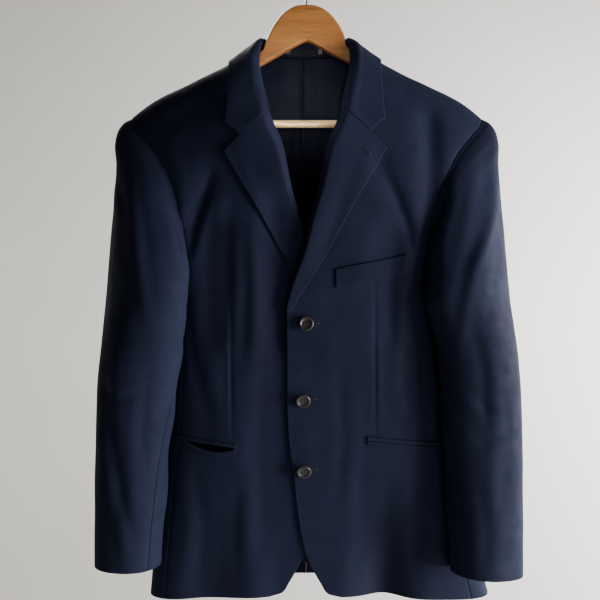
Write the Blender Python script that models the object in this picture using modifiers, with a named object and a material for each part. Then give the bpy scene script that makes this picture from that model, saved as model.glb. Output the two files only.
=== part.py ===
"""A single breasted blazer on its wooden hanger, each sewn piece a wall of cloth of its own.

Frame: +X is the wearer's left, -Y the front, +Z up. The origin is the inside top of the hanger's hook.
Lengths are written in millimetres, and become metres when a mesh is made.
"""
import math
from collections import namedtuple

import bmesh
import bpy
import numpy as np

MM = 0.001

CLOTH = 2.0             # wall of a front, back, side or sleeve, with its canvas and lining
COLLAR_CLOTH = 2.2
TRIM_CLOTH = 1.4        # welt, jets, pocket bag, lining and label
SEAM_GAP = 0.3          # between two pieces that are sewn edge to edge
LAY_GAP = 0.7           # between a panel and what lies on it
SLEEVE_CLEAR = 6.4      # between the middles of a sleeve's wall and of the body that it hangs against
MIDLINE = -2.5          # the centre front hangs a little to the wearer's right of the hook
RIGHT_DROP = 4.5        # how much lower the wearer's right lapel and collar end hang

LEFT, RIGHT = 1, -1
FRONT, BACK = -1, 1
SIDE_NAME = {LEFT: "left", RIGHT: "right"}


# ---------------------------------------------------------------- small tables and curves

class Curve:
    """A smooth curve through a few (at, value) points that never overshoots between them."""

    def __init__(self, at, value):
        order = np.argsort(at)
        self.at = np.asarray(at, float)[order]
        self.value = np.asarray(value, float)[order]
        step = np.diff(self.at)
        rise = np.diff(self.value) / step
        slope = np.zeros(len(self.at))
        slope[0], slope[-1] = rise[0], rise[-1]
        for i in range(1, len(rise)):
            if rise[i - 1] * rise[i] > 0:
                before, after = 2 * step[i] + step[i - 1], step[i] + 2 * step[i - 1]
                slope[i] = (before + after) / (before / rise[i - 1] + after / rise[i])
        self.slope = slope

    def __call__(self, at):
        at = min(max(at, self.at[0]), self.at[-1])
        i = min(max(int(np.searchsorted(self.at, at)) - 1, 0), len(self.at) - 2)
        step = self.at[i + 1] - self.at[i]
        t = (at - self.at[i]) / step
        near = (1 + 2 * t) * (1 - t) ** 2 * self.value[i] + t * (1 - t) ** 2 * step * self.slope[i]
        far = t * t * (3 - 2 * t) * self.value[i + 1] + t * t * (t - 1) * step * self.slope[i + 1]
        return near + far


def curves(names, *rows):
    """A table whose first column is the height or place, and each further column a Curve along it."""
    Row = namedtuple("Row", names.split()[1:])
    columns = list(zip(*rows))
    return Row(*(Curve(columns[0], column) for column in columns[1:]))


def ease(t):
    """0 to 1 with level ends."""
    t = min(max(t, 0.0), 1.0)
    return t * t * (3 - 2 * t)


# ---------------------------------------------------------------- the body's form

SHOULDER_RIDGE = Curve((0, 40, 75, 104, 167, 217, 246, 275), (-84, -97, -123, -142, -173, -198, -221, -248))
TENT_HEIGHT = {FRONT: 150.0, BACK: 160.0}   # how far below the ridge the cloth reaches its full depth
TENT_POWER = 0.62                           # how bluntly the cloth falls away from the ridge

BODY = curves(
    "height  left  right  front  back  squareness",
    (-215,   276,  276,   51,    54,   3.0),
    (-300,   250,  250,   55,    58,   3.0),
    (-375,   222,  222,   58,    60,   3.0),
    (-410,   206,  206,   59,    60,   3.0),
    (-440,   194,  194,   59,    59,   3.0),
    (-475,   188,  188,   58,    58,   3.0),
    (-535,   186,  186,   57,    56,   3.1),
    (-600,   190,  189,   56,    55,   3.3),
    (-675,   200,  196,   54,    55,   3.4),
    (-775,   222,  207,   52,    54,   3.6),
    (-885,   252,  216,   50,    54,   4.0),
)

# Soft folds pressed into the body: a line from its top to its bottom, its half width and its depth.
Fold = namedtuple("Fold", "face x_top z_top x_bottom z_bottom half_width depth_top depth_bottom")
FOLDS = (
    Fold(FRONT, 100, -700, 104, -890, 30, 0, 24),
    Fold(FRONT, 101, -302, 134, -380, 16, 3, 5),
    Fold(FRONT, 112, -400, 110, -520, 22, 4, 3),
    Fold(FRONT, 168, -240, 164, -520, 15, 7, 5),
    Fold(FRONT, -131, -323, -157, -378, 16, 4, 6),
    Fold(FRONT, -126, -390, -127, -510, 20, 6, 4),
    Fold(FRONT, -120, -720, -132, -890, 34, 0, 9),
    Fold(BACK, -80, -690, -92, -890, 30, 0, 12),
    Fold(BACK, 86, -660, 98, -890, 28, 0, 15),
    Fold(BACK, -150, -250, -120, -360, 18, 3, 5),
    Fold(BACK, 150, -250, 122, -350, 18, 3, 5),
)
FOLD_FADE = 45.0        # a fold dies away over this length past its ends


def fold_depth(x, z, face):
    """How far the folds press the cloth inward at this place."""
    total = 0.0
    for fold in FOLDS:
        if fold.face != face:
            continue
        along = (fold.z_top - z) / (fold.z_top - fold.z_bottom)
        beyond = max(z - fold.z_top, fold.z_bottom - z, 0.0) / FOLD_FADE
        if beyond >= 1:
            continue
        along = min(max(along, 0.0), 1.0)
        middle = fold.x_top + (fold.x_bottom - fold.x_top) * along
        away = (x - middle) / fold.half_width
        depth = fold.depth_top + (fold.depth_bottom - fold.depth_top) * along
        total += depth * math.exp(-away * away) * ease(1 - beyond)
    return total


def half_width(x, z):
    return BODY.left(z) if x >= 0 else BODY.right(z)


def reach(z, face):
    return BODY.front(z) if face == FRONT else BODY.back(z)


def body_y(x, z, face):
    """Depth of the body cloth's middle surface at a place in front or back view."""
    power = BODY.squareness(z)
    across = min(abs(x) / half_width(x, z), 1.0)
    drop = max(SHOULDER_RIDGE(abs(x)) - z, 0.0)
    tent = (1 - (1 - min(drop / TENT_HEIGHT[face], 1.0)) ** 2) ** TENT_POWER
    full = reach(z, face) * tent * (1 - across ** power) ** (1 / power)
    return face * max(full - fold_depth(x, z, face) * min(tent, full / reach(z, face)), 0.0)


def off_body(point, face):
    """Negative inside the body's form and positive outside it, with a smooth slope at the surface."""
    x, y, z = point
    power = BODY.squareness(z)
    across = abs(x) / half_width(x, z)
    drop = SHOULDER_RIDGE(abs(x)) - z
    out = abs(y) + fold_depth(x, z, face)
    if drop < TENT_HEIGHT[face]:
        full = reach(z, face) * (1 - min(across, 0.9999) ** power) ** (1 / power)
        return (out / full) ** (1 / TENT_POWER) + (1 - drop / TENT_HEIGHT[face]) ** 2 - 1
    return across ** power + (out / reach(z, face)) ** power - 1


def body_normal(point, face):
    """Unit normal of the body's form, pointing out of the jacket."""
    step = 0.5
    slope = []
    for axis in range(3):
        ahead, behind = list(point), list(point)
        ahead[axis] += step
        behind[axis] -= step
        slope.append(off_body(ahead, face) - off_body(behind, face))
    slope = np.array(slope)
    return slope / np.linalg.norm(slope)


def body_point(x, z, face):
    return np.array((x, body_y(x, z, face), z))


def lifted_clear(point, face, least):
    """Moves a point out along the form's normal where it is less than this far from the form."""
    for _ in range(3):
        normal = body_normal(point, face)
        ahead = off_body(point + normal * 0.25, face)
        rate = (ahead - off_body(point - normal * 0.25, face)) / 0.5
        away = off_body(point, face) / max(rate, 1e-6)
        if away >= least:
            break
        point = point + normal * (least - away)
    return point


# ---------------------------------------------------------------- solids from grids

def material(name, color, roughness, metallic=0.0):
    made = bpy.data.materials.new(name)
    made.use_nodes = True
    shader = made.node_tree.nodes["Principled BSDF"]
    shader.inputs["Base Color"].default_value = (*color, 1)
    shader.inputs["Roughness"].default_value = roughness
    shader.inputs["Metallic"].default_value = metallic
    made.diffuse_color = (*color, 1)
    return made


NAVY_WOOL = ((0.012, 0.016, 0.040), 0.85)
LINING_SATIN = ((0.010, 0.011, 0.018), 0.40)
LABEL_CLOTH = ((0.020, 0.021, 0.028), 0.60)
BUTTON_HORN = ((0.050, 0.045, 0.045), 0.35)
HONEY_WOOD = ((0.60, 0.36, 0.16), 0.45)
PALE_WOOD = ((0.72, 0.52, 0.30), 0.50)
STEEL_WIRE = ((0.62, 0.62, 0.60), 0.25, 1.0)


def add_object(name, mesh, look, home):
    made = bpy.data.objects.new(name, mesh)
    made.data.materials.clear()
    made.data.materials.append(material(name, *look))
    home.objects.link(made)
    return made


def wall(name, middle, normals, thickness, look, home, ring=False):
    """One closed solid from a grid of middle points and normals; a ring's last column joins its first."""
    middle, normals = np.asarray(middle), np.asarray(normals)
    rows, cols = middle.shape[:2]
    if not ring and middle[0, 0, 0] > middle[0, -1, 0]:     # columns run towards +X on every piece
        middle, normals = middle[:, ::-1], normals[:, ::-1]
    skins = [middle + normals * thickness / 2, middle - normals * thickness / 2]
    bm = bmesh.new()
    grid = [[[bm.verts.new(p * MM) for p in row] for row in skin] for skin in skins]
    last = cols if ring else cols - 1
    for j in range(rows - 1):
        for i in range(last):
            k = (i + 1) % cols
            for skin in grid:
                bm.faces.new((skin[j][i], skin[j][k], skin[j + 1][k], skin[j + 1][i]))
    outer, inner = grid
    for j in (0, rows - 1):
        for i in range(last):
            k = (i + 1) % cols
            bm.faces.new((outer[j][i], outer[j][k], inner[j][k], inner[j][i]))
    for i in () if ring else (0, cols - 1):
        for j in range(rows - 1):
            bm.faces.new((outer[j][i], outer[j + 1][i], inner[j + 1][i], inner[j][i]))
    bmesh.ops.recalc_face_normals(bm, faces=bm.faces)
    mesh = bpy.data.meshes.new(name)
    bm.to_mesh(mesh)
    bm.free()
    mesh.shade_smooth()
    mesh.set_sharp_from_angle(angle=math.radians(50))
    return add_object(name, mesh, look, home)


def grid_normals(points):
    """Normals of a grid of points from its own rows and columns."""
    points = np.asarray(points)
    down = np.gradient(points, axis=0)
    across = np.gradient(points, axis=1)
    normals = np.cross(across, down)
    return normals / np.linalg.norm(normals, axis=2, keepdims=True)


def edge_shift(points, amount):
    """Moves the first and last columns of a grid inward along its rows, which leaves the seam gap."""
    points = np.array(points)
    for edge, beside in ((0, 1), (-1, -2)):
        along = points[:, beside] - points[:, edge]
        points[:, edge] += along / np.linalg.norm(along, axis=1, keepdims=True) * amount
    return points


# ---------------------------------------------------------------- fronts, sides and backs

# Distance of the front's inner edge from the centre front: cutaway, front edge, roll line, neckline.
FRONT_EDGE = Curve(
    (-873, -868, -855, -832, -817, -802, -764, -720, -654, -599, -492, -470, -447, -410, -364, -318,
     -267, -240, -211, -190, -165, -145, -125),
    (48.5, 30.5, 21.5, 8.5, 1.5, -2.5, -9.5, -14.5, -22.5, -24.5, -24.5, -20, -14.5, -2.5, 7.5, 19.5,
     30, 41.5, 52, 63, 72, 76.5, 77.5))
HEM_IN, NECK_POINT = -873.0, -125.0
ARM_ROW_IN = -470.0         # height of the front's inner edge on the row that meets the armpit
ARMPIT_CORNER = -424.0      # where the side panel's corners meet the armhole
ARMPIT_DIP = 15.0           # how much lower the middle of the armhole's bottom is
TIP_X, TIP_Z = 246.0, -221.0
BACK_NECK = -125.0

ARMHOLE = curves(
    "height  front  back",
    (-424,   162,   168),
    (-390,   164,   178),
    (-359,   171,   185),
    (-328,   179,   191),
    (-304,   190,   197),
    (-279,   203,   207),
    (-253,   224,   225),
    (-229,   243,   243),
    (-221,   246,   246),
)
SIDE_SEAM = curves(                 # share of the half width at which each side seam runs
    "height  front  back",
    (-424,   0.815, 0.845),
    (-475,   0.880, 0.870),
    (-600,   0.890, 0.870),
    (-880,   0.890, 0.880),
)
HEM_SIDE, HEM_BACK = -880.0, -880.0
UNDER_LAP, UNDER_LAPEL = 3.2, 4.3           # depth of the under front, and what a lapel adds to it
LAPEL_END, UNDER_LAP_TOP, UNDER_LAP_OUT = -560.0, -300.0, -75.0     # where that depth changes
ARMPIT_CURVE_ROW = 9                        # the side panel's rows bend down to the armpit from here up

LOWER_ROWS = (0, .012, .04, .08, .13, .2, .29, .38, .48, .58, .68, .78, .88, 1)
UPPER_ROWS = (.13, .26, .39, .52, .65, .76, .85, .92, .965, .99, 1)
FRONT_COLUMNS = (0, .04, .1, .18, .27, .37, .47, .58, .69, .80, .91, 1)
BACK_COLUMNS = (0, .14, .28, .42, .55, .67, .79, .9, 1)
SIDE_COLUMNS = 5


def row_heights(low, arm, high):
    """The heights of every row, from the hem to the top, with the armpit's row in between."""
    return [low + (arm - low) * t for t in LOWER_ROWS] + [arm + (high - arm) * t for t in UPPER_ROWS]


def outer_edge(side, face, z):
    """x of a front's or back's outer edge: the side seam, and the armhole above it."""
    if z >= ARMPIT_CORNER:
        return side * (ARMHOLE.front(z) if face == FRONT else ARMHOLE.back(z))
    share = SIDE_SEAM.front(z) if face == FRONT else SIDE_SEAM.back(z)
    return side * share * half_width(side, z)


def inner_edge(side, z):
    """x of a front's inner edge."""
    return MIDLINE + side * FRONT_EDGE(z)


def under_lap(side, x, z):
    """How far the wearer's right front lies behind the left one: further where a lapel lies between them."""
    if side == LEFT:
        return 0.0
    behind = UNDER_LAP + UNDER_LAPEL * ease((z - LAPEL_END) / 50)
    return behind * ease((x - UNDER_LAP_OUT) / 40) * ease((UNDER_LAP_TOP - z) / 60)


def front_place(side, x, z):
    """A point and normal of a front."""
    point = body_point(x, z, FRONT)
    normal = body_normal(point, FRONT)
    point[1] += under_lap(side, x, z)
    return point, normal


def panel_rows(side, face, columns):
    """Grid of a front or back in front view: straight rows, bent to the shoulder seam at the top."""
    out_z = row_heights(HEM_SIDE, ARMPIT_CORNER, TIP_Z)
    if face == FRONT:
        in_z = row_heights(HEM_IN, ARM_ROW_IN, NECK_POINT)
        in_x = [inner_edge(side, z) for z in in_z]
    else:
        in_z = row_heights(HEM_BACK, ARM_ROW_IN, BACK_NECK)
        in_x = [0.0] * len(in_z)
    arm = len(LOWER_ROWS) - 1
    grid = []
    for row, (za, xa, zb) in enumerate(zip(in_z, in_x, out_z)):
        xb = outer_edge(side, face, zb)
        raised = ease((row - arm) / (len(in_z) - 1 - arm))
        line = []
        for t in columns:
            x, z = xa + (xb - xa) * t, za + (zb - za) * t
            end_x = in_x[-1] + (side * TIP_X - in_x[-1]) * t
            end_z = in_z[-1] + (TIP_Z - in_z[-1]) * t
            under_collar = face == BACK and abs(end_x) < abs(inner_edge(side, NECK_POINT))
            top = BACK_NECK if under_collar else SHOULDER_RIDGE(abs(end_x))
            line.append((x, z + (top - end_z) * raised ** 2))
        grid.append(line)
    return grid


def seat_rows(side, face, grid):
    """Puts a grid from front view on the body, with its normals and its seam gaps."""
    places, normals = [], []
    for row in grid:
        found = []
        for x, z in row:
            if face == FRONT:
                found.append(front_place(side, x, z))
            else:
                point = body_point(x, z, BACK)
                found.append((point, body_normal(point, BACK)))
        places.append([point for point, normal in found])
        normals.append([normal for point, normal in found])
    places, normals = np.array(places), np.array(normals)
    places[-1, :, 1] += face * SEAM_GAP / 2
    places[-1, :, 2] = np.minimum(places[-1, :, 2], [SHOULDER_RIDGE(abs(p[0])) for p in places[-1]])
    return edge_shift(places, SEAM_GAP / 2), normals


def side_grid(side):
    """Grid of a side panel: round the corner of the body, from the front's side seam to the back's."""
    heights = row_heights(HEM_SIDE, ARMPIT_CORNER, TIP_Z)[:len(LOWER_ROWS)]
    places, normals = [], []
    for row, base in enumerate(heights):
        power = BODY.squareness(base)
        wide = half_width(side, base)
        start = math.asin((abs(outer_edge(side, FRONT, base)) / wide) ** (power / 2))
        end = math.pi - math.asin((abs(outer_edge(side, BACK, base)) / wide) ** (power / 2))
        line, tilt = [], []
        for i in range(SIDE_COLUMNS + 1):
            share = i / SIDE_COLUMNS
            angle = start + (end - start) * share
            z = base - ARMPIT_DIP * math.sin(math.pi * share) ** 1.5 * ease((row - ARMPIT_CURVE_ROW) / 4)
            face = FRONT if angle < math.pi / 2 else BACK
            wide_here, power_here = half_width(side, z), BODY.squareness(z)
            x = side * wide_here * math.sin(angle) ** (2 / power_here)
            y = face * reach(z, face) * abs(math.cos(angle)) ** (2 / power_here)
            if i in (0, SIDE_COLUMNS):
                edge_face = FRONT if i == 0 else BACK
                x = outer_edge(side, edge_face, z)
                y = body_y(x, z, edge_face)
            point = np.array((x, y, z))
            line.append(point)
            tilt.append(body_normal(point, face))
        places.append(line)
        normals.append(tilt)
    return edge_shift(places, SEAM_GAP / 2), np.array(normals)


# ---------------------------------------------------------------- sleeves

# Each section of a sleeve: its height, centre, half width, half depth and lean inward at the front.
SLEEVE = {
    LEFT: curves(
        "height  x    y    width  depth  lean",
        (-475,   230, -4,  54,    77,    20),
        (-545,   240, -18, 47,    69,    18),
        (-612,   241, -30, 46,    61,    15),
        (-677,   240, -38, 47,    54,    12),
        (-743,   239, -46, 47,    50,    9),
        (-825,   238, -59, 46,    44,    6),
    ),
    RIGHT: curves(
        "height  x    y    width  depth  lean",
        (-475,   224, -4,  56,    77,    20),
        (-545,   226, -18, 55,    69,    18),
        (-612,   230, -30, 51,    61,    15),
        (-677,   234, -38, 47,    54,    12),
        (-743,   236, -45, 45,    50,    9),
        (-816,   238, -52, 41,    46,    6),
    ),
}
SLEEVE_SQUARENESS = 2.25
FRONT_SEAM_BEFORE, BACK_SEAM_PAST = 2, 4    # columns from the armpit's corners to the sleeve's two seams
BICEP = -475.0
CUFF = {LEFT: (-838.0, -834.0), RIGHT: (-826.0, -828.0)}    # outer and inner height of the cuff
CAP_STEPS = (.07, .16, .27, .4, .55, .7, .85, 1)
ARM_STEPS = (.08, .18, .3, .43, .57, .71, .86, 1)
ROPING, ROPING_WIDTH = 1.6, 3.0     # how proud the sleeve head stands, this far past its seam
CAP_LEAVE, UNDERARM_LEAVE = 0.35, 0.45      # how strongly the sleeve leaves its seam, and more under the arm
CAP_REACH = 54.0            # how far the sleeve head carries on outward past its seam
CAP_FLARE = 0.06            # slope at which the sleeve's outside still widens at the bicep
SLOPE_OVER = 20.0           # the sleeve head arrives along the slope of this much of the arm below
CLEAR_FROM = 0.45           # share of the way down the sleeve head at which it stands clear of the body
PUSH_SOFTNESS = 4.0         # how gently a sleeve bends away from the body


def clear_of_body(side, point):
    """Moves a point of a sleeve outward where it would press into the body."""
    x, y, z = point
    face = FRONT if y < 0 else BACK
    share = abs(y) / (reach(z, face) + SLEEVE_CLEAR)
    if share >= 1:
        return point
    power = BODY.squareness(z)
    least = (half_width(side, z) + SLEEVE_CLEAR) * (1 - share ** power) ** (1 / power)
    gap = (abs(x) - least) / PUSH_SOFTNESS
    if gap > 30:
        return point
    return np.array((side * (least + PUSH_SOFTNESS * math.log1p(math.exp(gap))), y, z))


def sleeve_section(side, z, angle):
    """A point of the sleeve below the armhole; the angle runs from its outside over its front."""
    form = SLEEVE[side]
    power = 2 / SLEEVE_SQUARENESS
    c, s = math.cos(angle), math.sin(angle)
    across = form.width(z) * math.copysign(abs(c) ** power, c)
    along = form.depth(z) * math.copysign(abs(s) ** power, s)
    lean = math.radians(form.lean(z))
    x = form.x(z) + across * math.cos(lean) - along * math.sin(lean)
    y = form.y(z) - across * math.sin(lean) * 0.6 - along * math.cos(lean)
    return clear_of_body(side, np.array((side * x, y, z)))


def armhole_loop(front, side_panel, back):
    """The armhole's points and normals: tip, down the front, under the arm, up the back."""
    arm = len(LOWER_ROWS) - 1
    loop = [((front[0][-1, -1] + back[0][-1, -1]) / 2, front[1][-1, -1] + back[1][-1, -1])]
    loop += [(front[0][j, -1], front[1][j, -1]) for j in range(len(front[0]) - 2, arm - 1, -1)]
    loop += [(side_panel[0][-1, i], side_panel[1][-1, i]) for i in range(1, SIDE_COLUMNS)]
    loop += [(back[0][j, -1], back[1][j, -1]) for j in range(arm, len(back[0]) - 1)]
    points = np.array([point for point, normal in loop])
    normals = np.array([normal / np.linalg.norm(normal) for point, normal in loop])
    return points, normals


def sleeve_grid(side, loop):
    """Rings of a sleeve from the armhole to the cuff."""
    points, normals = loop
    count = len(points)
    arm_side = len(UPPER_ROWS)
    # Places round the armhole, and the turn round the sleeve below that each of them runs down to.
    keys = (0, arm_side * 0.5, arm_side, arm_side + SIDE_COLUMNS / 2, arm_side + SIDE_COLUMNS,
            count - arm_side * 0.5, count)
    turn = Curve(keys, (0.02, 0.24, 0.385, 0.495, 0.625, 0.78, 1.02))
    angles = [2 * math.pi * turn(i) for i in range(count)]
    along = np.roll(points, -1, axis=0) - np.roll(points, 1, axis=0)
    outward = np.cross(normals, along) * side
    outward /= np.linalg.norm(outward, axis=1, keepdims=True)
    first = points + outward * SEAM_GAP
    second = first + outward * ROPING_WIDTH + normals * ROPING
    ends = np.array([sleeve_section(side, BICEP, angle) for angle in angles])
    span = np.linalg.norm(ends - second, axis=1, keepdims=True)
    share = CAP_LEAVE + UNDERARM_LEAVE * np.maximum(outward[:, 2:], 0)
    leave = (outward + 0.6 * normals) * np.minimum(span * share, CAP_REACH)
    below = np.array([sleeve_section(side, BICEP - SLOPE_OVER, angle) for angle in angles])
    flare = [side * CAP_FLARE * max(math.cos(angle), 0.0) for angle in angles]
    slope = (below - ends) / SLOPE_OVER
    slope[:, 0] = flare
    arrive = slope * span * 1.1
    rings = [first, second]
    for t in CAP_STEPS:
        ring = ((1 + 2 * t) * (1 - t) ** 2 * second + t * (1 - t) ** 2 * leave
                + t * t * (3 - 2 * t) * ends + t * t * (t - 1) * arrive)
        clear = np.array([clear_of_body(side, point) for point in ring])
        rings.append(ring + (clear - ring) * ease(t / CLEAR_FROM))
    cuff_out, cuff_in = CUFF[side]
    for t in ARM_STEPS:
        ring = []
        for angle in angles:
            cuff = (cuff_out + cuff_in) / 2 + (cuff_out - cuff_in) / 2 * math.cos(angle)
            ring.append(sleeve_section(side, BICEP + (cuff - BICEP) * t, angle))
        rings.append(np.array(ring))
    rings = np.array(rings)
    around = np.roll(rings, -1, axis=1) - np.roll(rings, 1, axis=1)
    down = np.gradient(rings, axis=0)
    tilt = np.cross(around, down) * side
    tilt /= np.linalg.norm(tilt, axis=2, keepdims=True)
    tilt = np.roll(tilt, 1, axis=1) + tilt + np.roll(tilt, -1, axis=1)
    tilt /= np.linalg.norm(tilt, axis=2, keepdims=True)
    tilt[0] = normals
    return rings, tilt


# ---------------------------------------------------------------- lapels and collar

LAPEL_LEAF = Curve((-490, -476, -437, -398, -354, -312, -272), (-18.5, -10.5, 14.5, 37.5, 61.5, 86, 109))
LAPEL_FOOT = -490.0                     # where the roll line meets the front edge
GORGE_IN, LAPEL_TIP = -218.0, -272.0    # heights of the top row's two ends
NOTCH_SHARE, NOTCH_RISE = 0.62, 2.0     # the notch's inner corner, along and above the top row
LAPEL_ROWS = (0, .05, .12, .2, .29, .38, .48, .58, .68, .78, .87, .94, 1)
LAPEL_COLUMNS = (0, .05, .13, .25, .43, NOTCH_SHARE, .8, .92, 1)
LAPEL_GAP = 1.2
ROLL_HEIGHT = {LEFT: 5.0, RIGHT: 6.0}   # how proud the soft roll of the lapel stands
ROLL_START = {LEFT: 0.04, RIGHT: 0.38}  # the wearer's right lapel lies flat where the other front covers it


def hump(share):
    """Rises fast from the roll line and falls slowly towards the leaf edge."""
    return ease(share / 0.16) * (1 - 0.85 * ease((share - 0.1) / 0.9))


def lapel_grid(side):
    drop = RIGHT_DROP if side == RIGHT else 0.0
    base = CLOTH + LAPEL_GAP
    places = []
    for v in LAPEL_ROWS:
        roll_z = LAPEL_FOOT + (GORGE_IN - LAPEL_FOOT) * v - drop * v
        leaf_z = LAPEL_FOOT + (LAPEL_TIP - LAPEL_FOOT) * v
        roll_x, leaf_x = FRONT_EDGE(roll_z) - 0.5, LAPEL_LEAF(leaf_z)
        line = []
        for w in LAPEL_COLUMNS:
            peak = min(w / NOTCH_SHARE, (1 - w) / (1 - NOTCH_SHARE))
            x = MIDLINE + side * (roll_x + (leaf_x - roll_x) * w)
            z = roll_z + (leaf_z - drop * v - roll_z) * w + NOTCH_RISE * peak * v ** 8
            point, normal = front_place(side, x, z)
            lift = base + ROLL_HEIGHT[side] * ease((v - ROLL_START[side]) / 0.4) * hump(w)
            line.append(point + normal * lift)
        places.append(line)
    places = np.array(places)
    return places, grid_normals(places) * -side


# Stations of the collar on one side, from the centre back to its front end. The neck seam is given by
# x at the back and by height at the front, the fold by its place, the leaf edge by its front or back view.
Station = namedtuple("Station", "face neck_x neck_z fold_x fold_y fold_z leaf_x leaf_z bend drop")
COLLAR_STATIONS = (
    Station(BACK,  0,    -125, 0,    36,    -95,    0,     -143,   0,   0),
    Station(BACK,  20,   -125, 18,   35,    -95,    26,    -143,   0,   0),
    Station(BACK,  40,   -125, 35,   31,    -96.5,  54,    -145,   0,   0),
    Station(BACK,  58,   -125, 49,   23,    -99.5,  79,    -147.5, 0,   0),
    Station(BACK,  68,   -125, 56,   13.5,  -103.5, 95,    -146.5, 0,   0),
    Station(BACK,  74,   -125, 58.5, 6,     -106,   102,   -144.0, 0,   0),
    Station(FRONT, None, -125, 59.5, 0,     -108.0, 104.5, -142.0, 0,   0),
    Station(FRONT, None, -130, 61.5, -5,    -113.0, 104.5, -146,   0,   .1),
    Station(FRONT, None, -138, 63,   -11,   -122.0, 104,   -157,   0,   .2),
    Station(FRONT, None, -152, 63.5, -19,   -138,   104,   -175,   .02, .3),
    Station(FRONT, None, -172, 61.5, -30,   -160,   104.5, -196,   .10, .5),
    Station(FRONT, None, -191, 56.5, -40,   -183,   105.5, -213,   .30, .8),
    Station(FRONT, None, -204, 51.5, -47.5, -201,   106.5, -224,   .60, .9),
    Station(FRONT, None, -213, 47.3, -53,   -216,   107.5, -232.5, 1,   1),
)
NOTCH_X, NOTCH_Z = 86.5, -249.4
COLLAR_FOLD_RADIUS = 3.3
NECK_SEAM_GAP = 1.8                     # the stand and the body meet at an angle there
COLLAR_LAY_GAP = 2.3                    # the collar's fall stands a little off the body
FALL_SHARES = (.14, .32, .46, .62, .8, 1)
FOLD_ANGLES = (45, 90, 135, 175)        # round the fold, from the stand's side
COLLAR_SPRING = 1.2                     # how much further off the body the fall stands beside its fold
COLLAR_NOTCH_GAP = 1.6                  # between the collar's front end and the lapel


def collar_section(side, station):
    """Points of the collar from its neck seam, up the stand, over the fold and down to the leaf edge."""
    drop = RIGHT_DROP * station.drop if side == RIGHT else 0.0
    neck_z = station.neck_z + NECK_SEAM_GAP
    if station.face == BACK:
        neck = body_point(side * station.neck_x, neck_z, BACK)
        shift = MIDLINE * station.neck_x / FRONT_EDGE(NECK_POINT)
    else:
        neck = body_point(MIDLINE + side * (FRONT_EDGE(station.neck_z) - NECK_SEAM_GAP), neck_z, FRONT)
        shift = MIDLINE
    fold = np.array((shift + side * station.fold_x, station.fold_y, station.fold_z - drop))
    up = fold - neck
    height = np.linalg.norm(up)
    up /= height
    out = body_normal(neck, station.face)
    out -= up * np.dot(out, up)
    out /= np.linalg.norm(out)
    radius = min(COLLAR_FOLD_RADIUS, 0.42 * height)
    centre = fold - up * radius
    stand_top = centre - out * radius
    section = [neck, (neck + stand_top) / 2, stand_top]
    for angle in FOLD_ANGLES:
        turn = math.radians(angle)
        section.append(centre + radius * (math.sin(turn) * up - math.cos(turn) * out))

    lay = (CLOTH + COLLAR_CLOTH) / 2 + COLLAR_LAY_GAP
    leaf_x = shift + side * station.leaf_x
    slope = SHOULDER_RIDGE(abs(leaf_x)) - SHOULDER_RIDGE(station.leaf_x)
    leaf_z = station.leaf_z + slope - drop
    leaf = lifted_clear(body_point(leaf_x, leaf_z, station.face), station.face, lay)
    start = section[-1]
    notch = np.array((shift + side * NOTCH_X, 0, NOTCH_Z + COLLAR_NOTCH_GAP - drop))
    bend = (notch - (start + (leaf - start) * NOTCH_SHARE)) * (1, 0, 1) * station.bend
    for w in FALL_SHARES:
        point = start + (leaf - start) * w
        if station.bend:
            moved = point + bend * min(w / NOTCH_SHARE, (1 - w) / (1 - NOTCH_SHARE))
            moved[1] += body_y(moved[0], moved[2], FRONT) - body_y(point[0], point[2], FRONT)
            point = moved
        section.append(lifted_clear(point, station.face, lay + COLLAR_SPRING * (1 - w)))
    return section


def collar_grid():
    right = [collar_section(RIGHT, station) for station in reversed(COLLAR_STATIONS)]
    left = [collar_section(LEFT, station) for station in COLLAR_STATIONS[1:]]
    places = np.array(right + left)
    return places, grid_normals(places)


# ---------------------------------------------------------------- pockets, lining and label

def laid_on_front(side, columns, lift):
    """Grid of points over a front from columns of (x, z) places."""
    places = []
    for column in columns:
        seated = [front_place(side, x, z) for x, z in column]
        places.append([point + normal * lift for point, normal in seated])
    places = np.array(places).transpose(1, 0, 2)
    towards_left = columns[-1][0][0] > columns[0][0][0]
    return places, grid_normals(places) * (1 if towards_left else -1)


TRIM_LIFT = CLOTH / 2 + LAY_GAP + TRIM_CLOTH / 2
TRIM_COLUMNS = 13
WELT_IN, WELT_OUT = (38.4, -459.0), (134.2, -440.0)     # lower corners of the breast welt
WELT_HEIGHT = 25.5
JET_HEIGHT = 5.0

# Hip pockets: the mouth's inner and outer end, and how wide it gapes.
Pocket = namedtuple("Pocket", "x_in z_in x_out z_out gape")
HIP_POCKET = {
    LEFT: Pocket(80.5, -662.0, 183.0, -673.0, 0.8),
    RIGHT: Pocket(-94.5, -672.5, -182.5, -661.0, 9.5),
}
LEAST_GAPE = 0.8
GAPE_OUT = -166.0                       # outer end of the open part of the wearer's right pocket
MOUTH_CUT_Y = (-120.0, -15.0)           # the mouth's cutter runs right through the front
BAG_COLUMNS, BAG_ROWS = 9, 7
BAG_INSET, BAG_ABOVE, BAG_BELOW = 4.0, 9.0, 25.0    # the pocket bag against the mouth's ends and its line
BAG_DEPTH = 9.0                         # how far the pocket bag hangs away behind the open mouth


def build_welt(home):
    columns = []
    for share in np.linspace(0, 1, TRIM_COLUMNS):
        x = WELT_IN[0] + (WELT_OUT[0] - WELT_IN[0]) * share
        foot = WELT_IN[1] + (WELT_OUT[1] - WELT_IN[1]) * share
        columns.append([(x, foot + WELT_HEIGHT), (x, foot + WELT_HEIGHT / 2), (x, foot)])
    wall("breast_welt", *laid_on_front(LEFT, columns, TRIM_LIFT), TRIM_CLOTH, NAVY_WOOL, home)


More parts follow.
